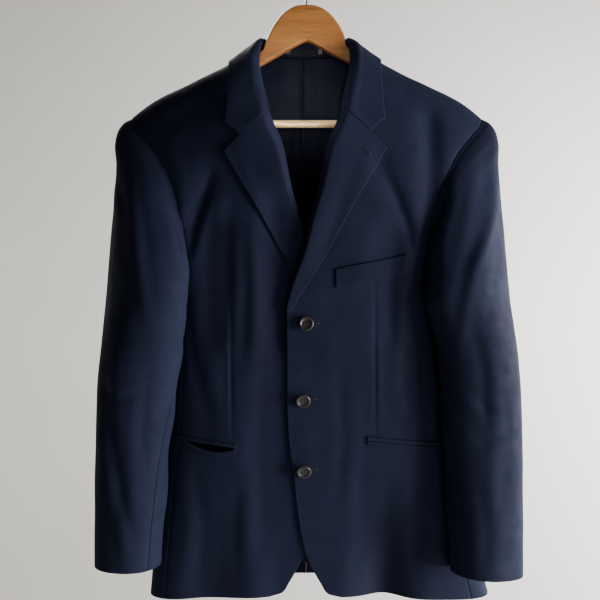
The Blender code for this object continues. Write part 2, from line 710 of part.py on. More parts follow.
def mouth_top(side, x):
    """Height of a hip pocket's upper jet edge at x."""
    pocket = HIP_POCKET[side]
    share = (x - pocket.x_in) / (pocket.x_out - pocket.x_in)
    return pocket.z_in + (pocket.z_out - pocket.z_in) * share


def mouth_foot(side, x):
    """Height of its lower jet edge at x, which sags where the pocket gapes."""
    pocket = HIP_POCKET[side]
    out = GAPE_OUT if side == RIGHT else pocket.x_out
    share = min(max((x - pocket.x_in) / (out - pocket.x_in), 0.0), 1.0)
    return mouth_top(side, x) - max(pocket.gape * math.sin(math.pi * share) ** 0.8, LEAST_GAPE)


def build_jets(home):
    for side in (LEFT, RIGHT):
        pocket, name = HIP_POCKET[side], SIDE_NAME[side]
        span = np.linspace(pocket.x_in, pocket.x_out, TRIM_COLUMNS)
        upper = [[(x, mouth_top(side, x) + JET_HEIGHT), (x, mouth_top(side, x))] for x in span]
        lower = [[(x, mouth_foot(side, x)), (x, mouth_foot(side, x) - JET_HEIGHT)] for x in span]
        for row, columns in (("upper", upper), ("lower", lower)):
            grid = laid_on_front(side, columns, TRIM_LIFT)
            wall(f"hip_jet_{row}_{name}", *grid, TRIM_CLOTH, NAVY_WOOL, home)


def cut_mouth(cutters):
    """Opens the wearer's right hip pocket through the front."""
    xs = np.linspace(HIP_POCKET[RIGHT].x_in - 1.5, GAPE_OUT + 1.5, 10)
    top = [(x, mouth_top(RIGHT, x)) for x in xs]
    bottom = [(x, mouth_foot(RIGHT, x)) for x in xs[::-1]]
    bm = bmesh.new()
    near, far = ([bm.verts.new((x * MM, y * MM, z * MM)) for x, z in top + bottom] for y in MOUTH_CUT_Y)
    bm.faces.new(near)
    bm.faces.new(far[::-1])
    for i in range(len(near)):
        k = (i + 1) % len(near)
        bm.faces.new((near[i], far[i], far[k], near[k]))
    bmesh.ops.recalc_face_normals(bm, faces=bm.faces)
    mesh = bpy.data.meshes.new("hip_mouth_cutter")
    bm.to_mesh(mesh)
    bm.free()
    cutter = bpy.data.objects.new("hip_mouth_cutter", mesh)
    cutters.objects.link(cutter)
    cutter.hide_render = True
    cutter.display_type = "WIRE"
    cut = bpy.data.objects["front_right"].modifiers.new("hip_mouth", "BOOLEAN")
    cut.operation = "DIFFERENCE"
    cut.object = cutter


def build_pocket_bag(home):
    """The pocket bag that shows behind the open mouth, hung from above it."""
    places = []
    for v in np.linspace(0, 1, BAG_ROWS):
        line = []
        for u in np.linspace(0, 1, BAG_COLUMNS):
            x_in, x_out = HIP_POCKET[RIGHT].x_in + BAG_INSET, GAPE_OUT - BAG_INSET
            x = x_in + (x_out - x_in) * u
            z = mouth_top(RIGHT, x) + BAG_ABOVE - (BAG_ABOVE + BAG_BELOW) * v
            point, normal = front_place(RIGHT, x, z)
            belly = BAG_DEPTH * math.sin(math.pi * u) * math.sin(math.pi * v)
            line.append(point - normal * (TRIM_LIFT + belly))
        places.append(line)
    wall("pocket_bag_right", places, -grid_normals(places), TRIM_CLOTH, LINING_SATIN, home)


LINING_COLUMNS = 2          # the lining reaches this many of the back's columns to each side
LINING_FOOT_ROW = 2         # it stops short of the hem by this many rows
PLEAT = ((0.36, 0.0), (0.24, 4.0), (0.12, 0.0))     # place, as a share of a column, and depth
PLEAT_FOOT = 0.4            # share of its depth that the pleat has left at the foot


def build_lining(backs, home):
    """The back lining, made from the back panels' points, with a soft pleat beside its middle."""
    grids = {side: [np.array(part)[LINING_FOOT_ROW:] for part in backs[side]] for side in backs}
    right, left = grids[RIGHT], grids[LEFT]
    columns = [(right[0][:, i], right[1][:, i], 0.0) for i in range(LINING_COLUMNS, 0, -1)]
    for share, depth in PLEAT:
        parts = [part[:, 0] + (part[:, 1] - part[:, 0]) * share for part in right]
        columns.append((*parts, depth))
    columns += [(left[0][:, i], left[1][:, i], 0.0) for i in range(LINING_COLUMNS + 1)]
    fade = np.linspace(PLEAT_FOOT, 1, len(left[0]))[:, None]
    hung = [point - normal * (TRIM_LIFT + depth * fade) for point, normal, depth in columns]
    places = np.stack(hung, axis=1)
    normals = np.stack([normal for point, normal, depth in columns], axis=1)
    normals = normals / np.linalg.norm(normals, axis=2, keepdims=True)
    wall("back_lining", places, normals, TRIM_CLOTH, LINING_SATIN, home)


LABEL_LEFT, LABEL_RIGHT, LABEL_COLUMNS = -31.0, 25.0, 9
LABEL_SHARES = (0.08, 0.48)         # its lower and upper edge, as shares of the stand's height


def build_collar(home):
    places, normals = collar_grid()
    wall("collar", places, normals, COLLAR_CLOTH, NAVY_WOOL, home)
    return places


def build_label(collar, home):
    """The bare neck label, on the inner side of the collar's stand."""
    middle = len(COLLAR_STATIONS) - 1
    near = range(middle - 3, middle + 4)
    xs = [collar[i, 0, 0] for i in near]
    lift = (COLLAR_CLOTH + TRIM_CLOTH) / 2 + LAY_GAP
    columns = []
    for x in np.linspace(LABEL_LEFT, LABEL_RIGHT, LABEL_COLUMNS):
        i = min(max(int(np.searchsorted(xs, x)) - 1, 0), len(xs) - 2)
        t = (x - xs[i]) / (xs[i + 1] - xs[i])
        foot, head = ((1 - t) * collar[near[i], k] + t * collar[near[i + 1], k] for k in (0, 2))
        inward = np.cross(head - foot, collar[near[i + 1], 0] - collar[near[i], 0])
        inward *= -np.sign(inward[1]) / np.linalg.norm(inward)
        columns.append([foot + (head - foot) * share + inward * lift for share in LABEL_SHARES])
    places = np.array(columns).transpose(1, 0, 2)
    wall("neck_label", places, -grid_normals(places), TRIM_CLOTH, LABEL_CLOTH, home)


# ---------------------------------------------------------------- buttons

# Each button: x, height and nod in degrees.
BUTTON_PLACES = ((-1.0, -506.0, 0.0), (-5.0, -607.0, 22.0), (-4.0, -701.0, 24.0))
BUTTON_RADIUS = 10.0
SHANK, SHANK_RADIUS = 2.6, 2.4
BUTTON_SEAT = 0.45          # between the shank's foot and the cloth
# Turned profile of a button: distance from its axis and height over its back.
BUTTON_PROFILE = (
    (0.0, 2.2), (5.6, 2.2), (6.8, 3.3), (8.8, 3.5), (BUTTON_RADIUS, 2.6), (BUTTON_RADIUS, 1.2),
    (8.4, 0.0), (SHANK_RADIUS, 0.0), (SHANK_RADIUS, -SHANK), (0.0, -SHANK),
)


def build_buttons(home):
    for index, (x, z, nod) in enumerate(BUTTON_PLACES, start=1):
        name = f"button_{index}"
        mesh = bpy.data.meshes.new(name)
        points = [(r * MM, 0, h * MM) for r, h in BUTTON_PROFILE]
        mesh.from_pydata(points, [(i, i + 1) for i in range(len(points) - 1)], [])
        button = add_object(name, mesh, BUTTON_HORN, home)
        turn = button.modifiers.new("turn", "SCREW")
        turn.steps = turn.render_steps = 24
        turn.use_merge_vertices = True
        turn.merge_threshold = 0.00001
        point, normal = front_place(LEFT, x, z)
        lean = math.radians(nod)
        button.rotation_euler = (math.radians(90) + lean, 0, 0)
        facing = np.array((0.0, -math.cos(lean), -math.sin(lean)))
        lift = CLOTH / 2 + BUTTON_SEAT + SHANK_RADIUS * math.sin(lean)
        button.location = (point + normal * lift + facing * SHANK) * MM


# ---------------------------------------------------------------- hanger

YOKE_THICK = 12.0
YOKE_ROUND = 2.5
HEAD_HALF = ((0, -60.4), (8, -60.6), (14, -61.6), (20, -63.8), (26, -67.2), (32, -71.8), (37.1, -77),
             (41.3, -82.4), (45.3, -88), (48.8, -93.6), (51.4, -99), (53, -103))
HEAD_FOOT = {                   # the head's side inside the collar, which stands nearer on the left
    LEFT: ((53.9, -107), (54.5, -112), (55, -117)),
    RIGHT: ((55, -107), (57.2, -112), (59, -117)),
}
UNDER_COLLAR = ((60, -122.5), (66, -127.5), (74, -132.5))   # the arm's top below the collar
ARM_FROM, ARM_END = 90.0, 222.0
ARM_BELOW_RIDGE = 4.4           # the arm's top under the middle of the shoulder cloth
APEX_Z, ARM_UNDER_SLOPE = -109.3, 0.56
ARM_UNDER = (184, 120, 60, 20, 6)
BAR_Z, BAR_RADIUS, BAR_HALF = -227.0, 5.2, 190.0
WIRE_RADIUS = 1.75
HOOK_RADIUS = 19.0              # inside radius of the hook
HOOK_NECK = ((0, -54), (0.6, -49), (3.4, -44), (8.2, -39.5))    # the wire's bend above the head
HOOK_FROM, HOOK_STEP, HOOK_STEPS = -52, 12, 21                  # the hook's arc, in degrees


def arm_top(x):
    return SHOULDER_RIDGE(x) - ARM_BELOW_RIDGE


def yoke_outline(side):
    """One side of the yoke in front view, from the head down over the arm and back along its underside."""
    socket = BAR_HALF + SEAM_GAP
    half = list(HEAD_HALF + HEAD_FOOT[side] + UNDER_COLLAR)
    half += [(x, arm_top(x)) for x in np.linspace(ARM_FROM, ARM_END - 6, 9)]
    half += [(ARM_END, arm_top(ARM_END) - 3), (ARM_END + 1, -215), (ARM_END - 6, -229), (ARM_END - 15, -236),
             (BAR_HALF + 8, -237), (BAR_HALF + 1, -233), (socket, -226), (socket, -221)]
    half += [(x, APEX_Z - ARM_UNDER_SLOPE * x) for x in ARM_UNDER]
    return half + [(0, APEX_Z - 1.5)]


def build_yoke(home):
    """The flat wooden yoke: its arched head, and two arms under the shoulders down to the bar's ends."""
    outline = yoke_outline(LEFT) + [(-x, z) for x, z in yoke_outline(RIGHT)[-2:0:-1]]
    curve = bpy.data.curves.new("hanger_yoke", "CURVE")
    curve.dimensions = "2D"
    curve.fill_mode = "BOTH"
    curve.extrude = (YOKE_THICK / 2 - YOKE_ROUND) * MM
    curve.bevel_depth = YOKE_ROUND * MM
    curve.bevel_resolution = 1
    curve.offset = -YOKE_ROUND * MM
    spline = curve.splines.new("POLY")
    spline.points.add(len(outline) - 1)
    for point, (x, z) in zip(spline.points, outline):
        point.co = (x * MM, z * MM, 0, 1)
    spline.use_cyclic_u = True
    yoke = add_object("hanger_yoke", curve, HONEY_WOOD, home)
    yoke.rotation_euler = (math.radians(90), 0, 0)


def build_bar(home):
    bpy.ops.mesh.primitive_cylinder_add(vertices=20, radius=BAR_RADIUS * MM, depth=2 * BAR_HALF * MM,
                                        location=(0, 0, BAR_Z * MM), rotation=(0, math.radians(90), 0))
    bar = bpy.context.object
    for collection in list(bar.users_collection):
        collection.objects.unlink(bar)
    mesh = bar.data
    mesh.shade_smooth()
    mesh.set_sharp_from_angle(angle=math.radians(50))
    made = add_object("hanger_bar", mesh, PALE_WOOD, home)
    made.location, made.rotation_euler = bar.location.copy(), bar.rotation_euler.copy()
    bpy.data.objects.remove(bar)


def build_hook(home):
    """The wire hook: up from the head, out to one side and over, open on the other side."""
    centre_z, radius = -HOOK_RADIUS, HOOK_RADIUS + WIRE_RADIUS
    route = [(0, HEAD_HALF[0][1] + SEAM_GAP), *HOOK_NECK]
    for step in range(HOOK_STEPS):
        angle = math.radians(HOOK_FROM + step * HOOK_STEP)
        route.append((radius * math.cos(angle), centre_z + radius * math.sin(angle)))
    curve = bpy.data.curves.new("hanger_hook", "CURVE")
    curve.dimensions = "3D"
    curve.bevel_depth = WIRE_RADIUS * MM
    curve.bevel_resolution = 2
    curve.use_fill_caps = True
    spline = curve.splines.new("POLY")
    spline.points.add(len(route) - 1)
    for point, (x, z) in zip(spline.points, route):
        point.co = (x * MM, 0, z * MM, 1)
    add_object("hanger_hook", curve, STEEL_WIRE, home)


# ---------------------------------------------------------------- build

def build_body(home):
    """Fronts, side panels and backs, and the armhole loops that the sleeves start from."""
    loops, backs = {}, {}
    for side in (LEFT, RIGHT):
        name = SIDE_NAME[side]
        front = seat_rows(side, FRONT, panel_rows(side, FRONT, FRONT_COLUMNS))
        back = seat_rows(side, BACK, panel_rows(side, BACK, BACK_COLUMNS))
        panel = side_grid(side)
        wall(f"front_{name}", *front, CLOTH, NAVY_WOOL, home)
        wall(f"back_{name}", *back, CLOTH, NAVY_WOOL, home)
        wall(f"side_{name}", *panel, CLOTH, NAVY_WOOL, home)
        loops[side] = armhole_loop(front, panel, back)
        backs[side] = back
    return loops, backs


def build_lapels(home):
    for side in (LEFT, RIGHT):
        wall(f"lapel_{SIDE_NAME[side]}", *lapel_grid(side), CLOTH, NAVY_WOOL, home)


def build_sleeves(loops, home):
    """Each sleeve in its two cut pieces: the top sleeve over the arm, the under sleeve below it."""
    for side in (LEFT, RIGHT):
        name = SIDE_NAME[side]
        rings, tilt = sleeve_grid(side, loops[side])
        count = rings.shape[1]
        front_seam = len(UPPER_ROWS) - FRONT_SEAM_BEFORE
        back_seam = count - len(UPPER_ROWS) + BACK_SEAM_PAST
        top = [i % count for i in range(back_seam, count + front_seam + 1)]
        under = list(range(front_seam, back_seam + 1))
        for piece, columns in (("top", top), ("under", under)):
            middle = edge_shift(rings[:, columns], SEAM_GAP / 2)
            wall(f"sleeve_{piece}_{name}", middle, tilt[:, columns], CLOTH, NAVY_WOOL, home)


def main():
    for old in list(bpy.data.objects):
        bpy.data.objects.remove(old, do_unlink=True)
    home = bpy.data.collections.new("blazer_on_hanger")
    cutters = bpy.data.collections.new("cutters")
    for collection in (home, cutters):
        bpy.context.scene.collection.children.link(collection)
    loops, backs = build_body(home)
    build_sleeves(loops, home)
    build_lapels(home)
    build_label(build_collar(home), home)
    build_lining(backs, home)
    build_welt(home)
    build_jets(home)
    cut_mouth(cutters)
    build_pocket_bag(home)
    build_buttons(home)
    build_yoke(home)
    build_bar(home)
    build_hook(home)


main()
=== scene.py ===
"""Looks of a single breasted blazer on its wooden hanger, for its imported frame.

Frame: +X is the wearer's left, -Y the front, +Z up. The origin is the inside top of the hanger's hook.
Lengths are written in millimetres, and become metres when a mesh is made.
"""
import math
from collections import namedtuple

import bmesh
import bpy
import numpy as np
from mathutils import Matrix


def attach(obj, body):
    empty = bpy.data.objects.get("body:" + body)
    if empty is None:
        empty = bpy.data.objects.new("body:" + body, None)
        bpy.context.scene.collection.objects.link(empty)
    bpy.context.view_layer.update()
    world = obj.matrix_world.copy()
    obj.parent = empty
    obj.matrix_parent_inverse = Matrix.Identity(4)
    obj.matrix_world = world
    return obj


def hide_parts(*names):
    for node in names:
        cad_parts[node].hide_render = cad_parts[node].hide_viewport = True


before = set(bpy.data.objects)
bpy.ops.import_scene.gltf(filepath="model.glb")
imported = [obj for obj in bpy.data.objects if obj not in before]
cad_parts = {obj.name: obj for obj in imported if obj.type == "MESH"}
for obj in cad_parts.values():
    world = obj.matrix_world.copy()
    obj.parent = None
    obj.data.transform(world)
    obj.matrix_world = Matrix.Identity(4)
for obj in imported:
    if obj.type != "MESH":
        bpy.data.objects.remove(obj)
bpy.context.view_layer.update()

MM = 0.001
CLOTH, COLLAR_CLOTH, TRIM_CLOTH = 2.0, 2.2, 1.4     # thickness of body cloth, collar and trims
SEAM_GAP, LAY_GAP, SLEEVE_CLEAR = 0.08, 0.7, 3.6    # between sewn edges, under trims, inside sleeves
MIDLINE, RIGHT_DROP = -2.5, 4.5                     # x of the closed fronts' middle; the right side hangs lower
LEFT, RIGHT = 1, -1
FRONT, BACK = -1, 1
SIDE_NAME = {LEFT: "left", RIGHT: "right"}


# ---------------------------------------------------------------- tables and curves

class Curve:
    """A smooth curve through a few (at, value) points that never overshoots; it takes numbers or arrays."""

    def __init__(self, at, value):
        order = np.argsort(at)
        self.at = np.asarray(at, float)[order]
        self.value = np.asarray(value, float)[order]
        step = np.diff(self.at)
        rise = np.diff(self.value) / step
        slope = np.zeros(len(self.at))
        slope[0], slope[-1] = rise[0], rise[-1]
        for i in range(1, len(rise)):
            if rise[i - 1] * rise[i] > 0:
                before, after = 2 * step[i] + step[i - 1], step[i] + 2 * step[i - 1]
                slope[i] = (before + after) / (before / rise[i - 1] + after / rise[i])
        self.slope = slope

    def __call__(self, at):
        at = np.clip(at, self.at[0], self.at[-1])
        i = np.clip(np.searchsorted(self.at, at) - 1, 0, len(self.at) - 2)
        step = self.at[i + 1] - self.at[i]
        t = (at - self.at[i]) / step
        return cubic(t, self.value[i], step * self.slope[i], self.value[i + 1], step * self.slope[i + 1])


def curves(names, *rows):
    """A table's columns as named curves over its first column."""
    Row = namedtuple("Row", names.split()[1:])
    at, *columns = zip(*rows)
    return Row(*(Curve(at, column) for column in columns))


def ease(t):
    """Goes smoothly from 0 to 1 as t does, and stays level beyond."""
    t = np.clip(t, 0.0, 1.0)
    return t * t * (3 - 2 * t)


def cubic(t, start, leave, end, arrive):
    """A cubic between two places at shares t of the way, with its slopes there over the whole span."""
    return ((1 + 2 * t) * (1 - t) ** 2 * start + t * (1 - t) ** 2 * leave
            + t * t * (3 - 2 * t) * end + t * t * (t - 1) * arrive)


def unit(vectors):
    return vectors / np.maximum(np.linalg.norm(vectors, axis=-1, keepdims=True), 1e-9)


# ---------------------------------------------------------------- the body's form

SHOULDER_RIDGE = Curve((0, 40, 75, 104, 167, 217, 246, 275), (-84, -97, -123, -142, -173, -198, -221, -248))
TENT_HEIGHT = {FRONT: 150.0, BACK: 160.0}       # how far below the ridge the body reaches its full depth
TENT_POWER = 0.62
NORMAL_STEP = 0.5
BODY = curves(
    "height  left  right  front  back  squareness",
    (-215,   276,  276,   51,    54,   3.0),
    (-300,   250,  250,   55,    58,   3.0),
    (-375,   222,  222,   58,    60,   3.0),
    (-410,   206,  206,   59,    60,   3.0),
    (-440,   194,  194,   59,    59,   3.0),
    (-475,   188,  188,   58,    58,   3.0),
    (-535,   186,  186,   57,    56,   3.1),
    (-600,   190,  189,   56,    55,   3.3),
    (-675,   200,  196,   54,    55,   3.4),
    (-775,   222,  207,   52,    54,   3.6),
    (-885,   252,  216,   50,    54,   4.0),
)
Fold = namedtuple("Fold", "face x_top z_top x_bottom z_bottom half_width depth_top depth_bottom")
FOLDS = (
    Fold(FRONT, 100, -700, 104, -890, 30, 0, 24),
    Fold(FRONT, 101, -302, 134, -380, 16, 3, 5),
    Fold(FRONT, 112, -400, 110, -520, 22, 4, 3),
    Fold(FRONT, 168, -240, 164, -520, 15, 7, 5),
    Fold(FRONT, -131, -323, -157, -378, 16, 4, 6),
    Fold(FRONT, -126, -390, -127, -510, 20, 6, 4),
    Fold(FRONT, -120, -720, -132, -890, 34, 0, 9),
    Fold(BACK, -80, -690, -92, -890, 30, 0, 12),
    Fold(BACK, 86, -660, 98, -890, 28, 0, 15),
    Fold(BACK, -150, -250, -120, -360, 18, 3, 5),
    Fold(BACK, 150, -250, 122, -350, 18, 3, 5),
)
FOLD_FADE = 45.0


def fold_depth(x, z, face):
    total = np.zeros(np.broadcast(x, z).shape)
    for fold in FOLDS:
        if fold.face != face:
            continue
        along = (fold.z_top - z) / (fold.z_top - fold.z_bottom)
        beyond = np.maximum(np.maximum(z - fold.z_top, fold.z_bottom - z), 0.0) / FOLD_FADE
        along = np.clip(along, 0.0, 1.0)
        middle = fold.x_top + (fold.x_bottom - fold.x_top) * along
        away = (x - middle) / fold.half_width
        depth = fold.depth_top + (fold.depth_bottom - fold.depth_top) * along
        total = total + depth * np.exp(-away * away) * ease(1 - beyond)
    return total


def half_width(x, z):
    return np.where(np.asarray(x) >= 0, BODY.left(z), BODY.right(z))


def reach(z, face):
    return BODY.front(z) if face == FRONT else BODY.back(z)


def body_y(x, z, face):
    """Depth of the body cloth's middle surface at places in front or back view."""
    power = BODY.squareness(z)
    across = np.minimum(np.abs(x) / half_width(x, z), 1.0)
    drop = np.maximum(SHOULDER_RIDGE(np.abs(x)) - z, 0.0)
    tent = (1 - (1 - np.minimum(drop / TENT_HEIGHT[face], 1.0)) ** 2) ** TENT_POWER
    full = reach(z, face) * tent * (1 - across ** power) ** (1 / power)
    pressed = fold_depth(x, z, face) * np.minimum(tent, full / reach(z, face))
    return face * np.maximum(full - pressed, 0.0)


def off_body(points, face):
    """Negative inside the body's form and positive outside it, with a smooth slope at the surface."""
    x, y, z = points[..., 0], points[..., 1], points[..., 2]
    power = BODY.squareness(z)
    across = np.abs(x) / half_width(x, z)
    drop = SHOULDER_RIDGE(np.abs(x)) - z
    out = np.abs(y) + fold_depth(x, z, face)
    full = reach(z, face) * (1 - np.minimum(across, 0.9999) ** power) ** (1 / power)
    high = (out / full) ** (1 / TENT_POWER) + (1 - drop / TENT_HEIGHT[face]) ** 2 - 1
    low = across ** power + (out / reach(z, face)) ** power - 1
    return np.where(drop < TENT_HEIGHT[face], high, low)


def body_normal(points, face):
    """Unit normals of the body's form, pointing out of the jacket."""
    slopes = []
    for axis in range(3):
        step = np.zeros(3)
        step[axis] = NORMAL_STEP
        slopes.append(off_body(points + step, face) - off_body(points - step, face))
    return unit(np.stack(slopes, axis=-1))


def body_points(x, z, face):
    x, z = np.broadcast_arrays(np.asarray(x, float), np.asarray(z, float))
    return np.stack((x, body_y(x, z, face), z), axis=-1)


def lifted_clear(points, face, least):
    """Moves points out along the form's normal where they are less than this far from the form."""
    for _ in range(3):
        normal = body_normal(points, face)
        step = normal * NORMAL_STEP / 2
        rate = (off_body(points + step, face) - off_body(points - step, face)) / NORMAL_STEP
        away = off_body(points, face) / np.maximum(rate, 1e-6)
        points = points + normal * np.maximum(least - away, 0.0)[..., None]
    return points


# ---------------------------------------------------------------- creases

# A crease runs through points in front (or back) view. Its depth is at its middle, and it fades at both ends;
# a negative depth is a ridge. The cloth beside a trough stands up a little on the side that lean names.
Crease = namedtuple("Crease", "face width depth lean route")


def creases(face, *rows):
    return tuple(Crease(face, *row) for row in rows)


BODY_CREASES = creases(
    FRONT,
    # the wearer's right front
    (6, 1.9, -1, ((-127, -300), (-139, -340), (-152, -382), (-160, -425))),
    (9, 1.5, 1, ((-100, -330), (-106, -420), (-104, -520))),
    (8, 1.3, -1, ((-84, -392), (-82, -470), (-86, -560))),
    (7, 1.0, 1, ((-172, -430), (-160, -500), (-146, -590))),
    (10, 1.2, -1, ((-150, -560), (-138, -610), (-128, -650))),
    (12, 1.6, 1, ((-60, -560), (-66, -690), (-58, -820))),
    (11, 1.6, 1, ((-150, -700), (-140, -780), (-148, -872))),
    (9, 1.0, -1, ((-90, -700), (-98, -790), (-92, -872))),
    (9, 1.3, -1, ((-205, -262), (-186, -310), (-178, -380))),
    (12, 0.9, 1, ((-122, -190), (-160, -220), (-206, -246))),
    # the wearer's left front
    (6, 1.8, 1, ((104, -302), (122, -340), (138, -380), (146, -428))),
    (8, 1.5, -1, ((116, -408), (112, -470), (114, -548))),
    (8, 1.1, 1, ((140, -470), (132, -560), (136, -640))),
    (7, 1.4, -1, ((232, -240), (206, -285), (186, -340), (172, -420))),
    (10, 1.2, 1, ((186, -300), (168, -360), (160, -430), (158, -500))),
    (12, 1.4, -1, ((70, -690), (74, -780), (64, -868))),
    (11, 1.2, 1, ((140, -690), (150, -780), (146, -876))),
    (9, 1.0, -1, ((40, -560), (48, -650), (40, -760))),
    (11, 0.9, 1, ((118, -196), (158, -226), (204, -254))),
    (5, 0.8, 1, ((2, -600), (28, -596), (56, -604))),
    (5, 0.8, -1, ((2, -698), (30, -692), (54, -700))),
) + creases(
    BACK,
    (9, 1.8, 1, ((-206, -262), (-176, -310), (-152, -380))),
    (9, 1.6, -1, ((204, -266), (172, -318), (150, -390))),
    (12, 1.4, 1, ((-96, -170), (-60, -200), (-20, -214))),
    (12, 1.2, -1, ((98, -176), (58, -206), (18, -222))),
    (10, 1.7, -1, ((-118, -370), (-104, -470), (-110, -590))),
    (10, 1.5, 1, ((112, -380), (98, -480), (104, -600))),
    (12, 1.8, 1, ((-60, -520), (-52, -650), (-64, -800))),
    (12, 1.5, -1, ((54, -540), (62, -690), (52, -830))),
    (8, 1.2, 1, ((-150, -560), (-132, -600), (-96, -628))),
    (8, 1.0, -1, ((150, -570), (126, -606), (90, -640))),
    (12, 1.6, -1, ((-140, -680), (-134, -780), (-150, -874))),
    (12, 1.4, 1, ((140, -690), (150, -790), (144, -876))),
)

SLEEVE_CREASES = {
    LEFT: creases(
        FRONT,
        (7, -2.0, 1, ((262, -262), (254, -350), (240, -393), (219, -436), (208, -481), (201, -532))),
        (8, 1.1, -1, ((244, -268), (234, -330), (218, -392), (202, -440))),
        (9, 1.0, 1, ((270, -330), (258, -400), (244, -460), (232, -530))),
        (8, 1.3, -1, ((214, -500), (228, -570), (232, -650))),
        (10, 1.2, 1, ((256, -560), (262, -650), (254, -740))),
        (7, 1.5, 1, ((206, -590), (232, -612), (262, -606))),
        (7, 1.1, -1, ((208, -640), (230, -656), (258, -650))),
        (9, 1.1, -1, ((222, -700), (230, -770), (226, -826))),
    ) + creases(
        BACK,
        (8, 2.0, 1, ((258, -270), (246, -340), (228, -410), (216, -470))),
        (8, 1.5, -1, ((272, -350), (260, -430), (244, -510))),
        (7, 1.8, 1, ((214, -560), (240, -584), (272, -580))),
        (7, 1.3, -1, ((214, -610), (240, -630), (270, -624))),
        (9, 1.2, 1, ((250, -660), (240, -740), (246, -824))),
    ),
    RIGHT: creases(
        FRONT,
        (6, 1.9, 1, ((-262, -300), (-250, -340), (-236, -368))),
        (9, 1.7, -1, ((-254, -300), (-246, -370), (-230, -450), (-216, -520))),
        (9, 1.4, 1, ((-226, -300), (-216, -370), (-206, -440), (-200, -500))),
        (8, 2.0, 1, ((-262, -596), (-250, -680), (-232, -760), (-218, -800))),
        (8, 1.3, -1, ((-268, -500), (-262, -590), (-256, -660))),
        (7, 1.4, -1, ((-272, -584), (-246, -606), (-214, -600))),
        (8, 1.2, 1, ((-206, -560), (-214, -650), (-208, -740))),
        (9, 1.0, -1, ((-240, -700), (-252, -770), (-246, -822))),
    ) + creases(
        BACK,
        (8, 2.0, -1, ((-258, -270), (-244, -340), (-228, -412), (-214, -474))),
        (8, 1.4, 1, ((-272, -360), (-258, -440), (-242, -520))),
        (7, 1.8, -1, ((-212, -566), (-238, -590), (-270, -584))),
        (7, 1.2, 1, ((-212, -616), (-240, -636), (-268, -630))),
        (9, 1.2, -1, ((-248, -670), (-240, -750), (-246, -820))),
    ),
}

DARTS = creases(
    FRONT,
    (2.4, 0.9, 1.0, ((-102, -478), (-101, -560), (-100, -662))),
    (2.4, 1.0, -1.0, ((91, -452), (91, -540), (92, -662))),
)
LAPEL_CREASES = creases(
    FRONT,
    (9, 0.9, 1, ((52, -300), (40, -360), (22, -420))),
    (9, 0.9, -1, ((-56, -300), (-42, -360), (-24, -430))),
    (8, -0.8, 1, ((90, -262), (74, -310), (50, -370))),
    (8, -0.8, -1, ((-92, -266), (-78, -314), (-54, -376))),
)

# Slow unevenness of hung cloth: waves across x, y and z, in radians a millimetre, phase and height.
RIPPLES = (
    (0.010, 0.002, 0.031, 0.4, 0.34),
    (0.043, 0.000, 0.008, 1.9, 0.42),
    (0.027, 0.021, -0.013, 4.2, 0.30),
    (-0.061, 0.010, 0.019, 2.6, 0.20),
    (0.016, -0.034, 0.052, 5.3, 0.16),
)


def ripple(points):
    """A slow, irregular swell of the cloth at these points."""
    total = 0.0
    for kx, ky, kz, phase, height in RIPPLES:
        wave = points[..., 0] * kx + points[..., 1] * ky + points[..., 2] * kz
        total = total + height * np.sin(wave * 2 + phase + 0.9 * np.sin(wave * 0.7 + phase))
    return total


RIPPLE_SHARE = 0.5
BESIDE, BESIDE_AWAY, BESIDE_WIDTH = 0.55, 1.9, 1.1      # the raised cloth beside a trough, in its measures
TURN_FADE, TURN_HOLD = 0.45, 0.1        # how a crease fades where the cloth turns to the side
END_INSET, END_POWER = 0.02, 0.7        # how it fades at its two ends


def creased(points, normals, pressed, amount=1.0):
    """Presses creases into a grid of points along its normals, and gives the cloth its slow swell."""
    x, z = points[..., 0], points[..., 2]
    press = -RIPPLE_SHARE * ripple(points) * amount
    for crease in pressed:
        facing = ease(crease.face * normals[..., 1] / TURN_FADE + TURN_HOLD)
        best = np.full(x.shape, 1e9)
        along, side = np.zeros(x.shape), np.zeros(x.shape)
        route = np.array(crease.route, float)
        lengths = np.linalg.norm(np.diff(route, axis=0), axis=1)
        total, done = lengths.sum(), 0.0
        for start, end, length in zip(route, route[1:], lengths):
            way = (end - start) / length
            run = np.clip((x - start[0]) * way[0] + (z - start[1]) * way[1], 0, length)
            dx, dz = x - start[0] - way[0] * run, z - start[1] - way[1] * run
            distance = np.hypot(dx, dz)
            nearer = distance < best
            best = np.where(nearer, distance, best)
            along = np.where(nearer, (done + run) / total, along)
            side = np.where(nearer, np.sign(dx * way[1] - dz * way[0]), side)
            done += length
        ends = np.sin(math.pi * np.clip(along * (1 - 2 * END_INSET) + END_INSET, 0, 1)) ** END_POWER
        strength = ends * facing * crease.depth
        signed = best * side * crease.lean / crease.width
        beside = BESIDE * np.exp(-((signed - BESIDE_AWAY) / BESIDE_WIDTH) ** 2)
        press = press + strength * (np.exp(-signed ** 2) - beside) * amount
    return points - normals * press[..., None]


# ---------------------------------------------------------------- meshes from grids

def linked(name, data):
    """A new object of this data, in the scene."""
    made = bpy.data.objects.new(name, data)
    bpy.context.scene.collection.objects.link(made)
    return made


def filled(mesh, bm):
    """The mesh with a bmesh's faces, all turned outward."""
    bmesh.ops.recalc_face_normals(bm, faces=bm.faces)
    bm.to_mesh(mesh)
    bm.free()
    return mesh


def cut_out(piece, cutters):
    """Cuts closed shapes out of a piece, and removes them."""
    for cutter in cutters:
        cut = piece.modifiers.new("cut", "BOOLEAN")
        cut.operation, cut.object, cut.solver = "DIFFERENCE", cutter, "EXACT"
    bpy.context.view_layer.update()
    shaped = bpy.data.meshes.new_from_object(piece.evaluated_get(bpy.context.evaluated_depsgraph_get()))
    piece.modifiers.clear()
    piece.data = shaped
    for cutter in cutters:
        bpy.data.objects.remove(cutter, do_unlink=True)


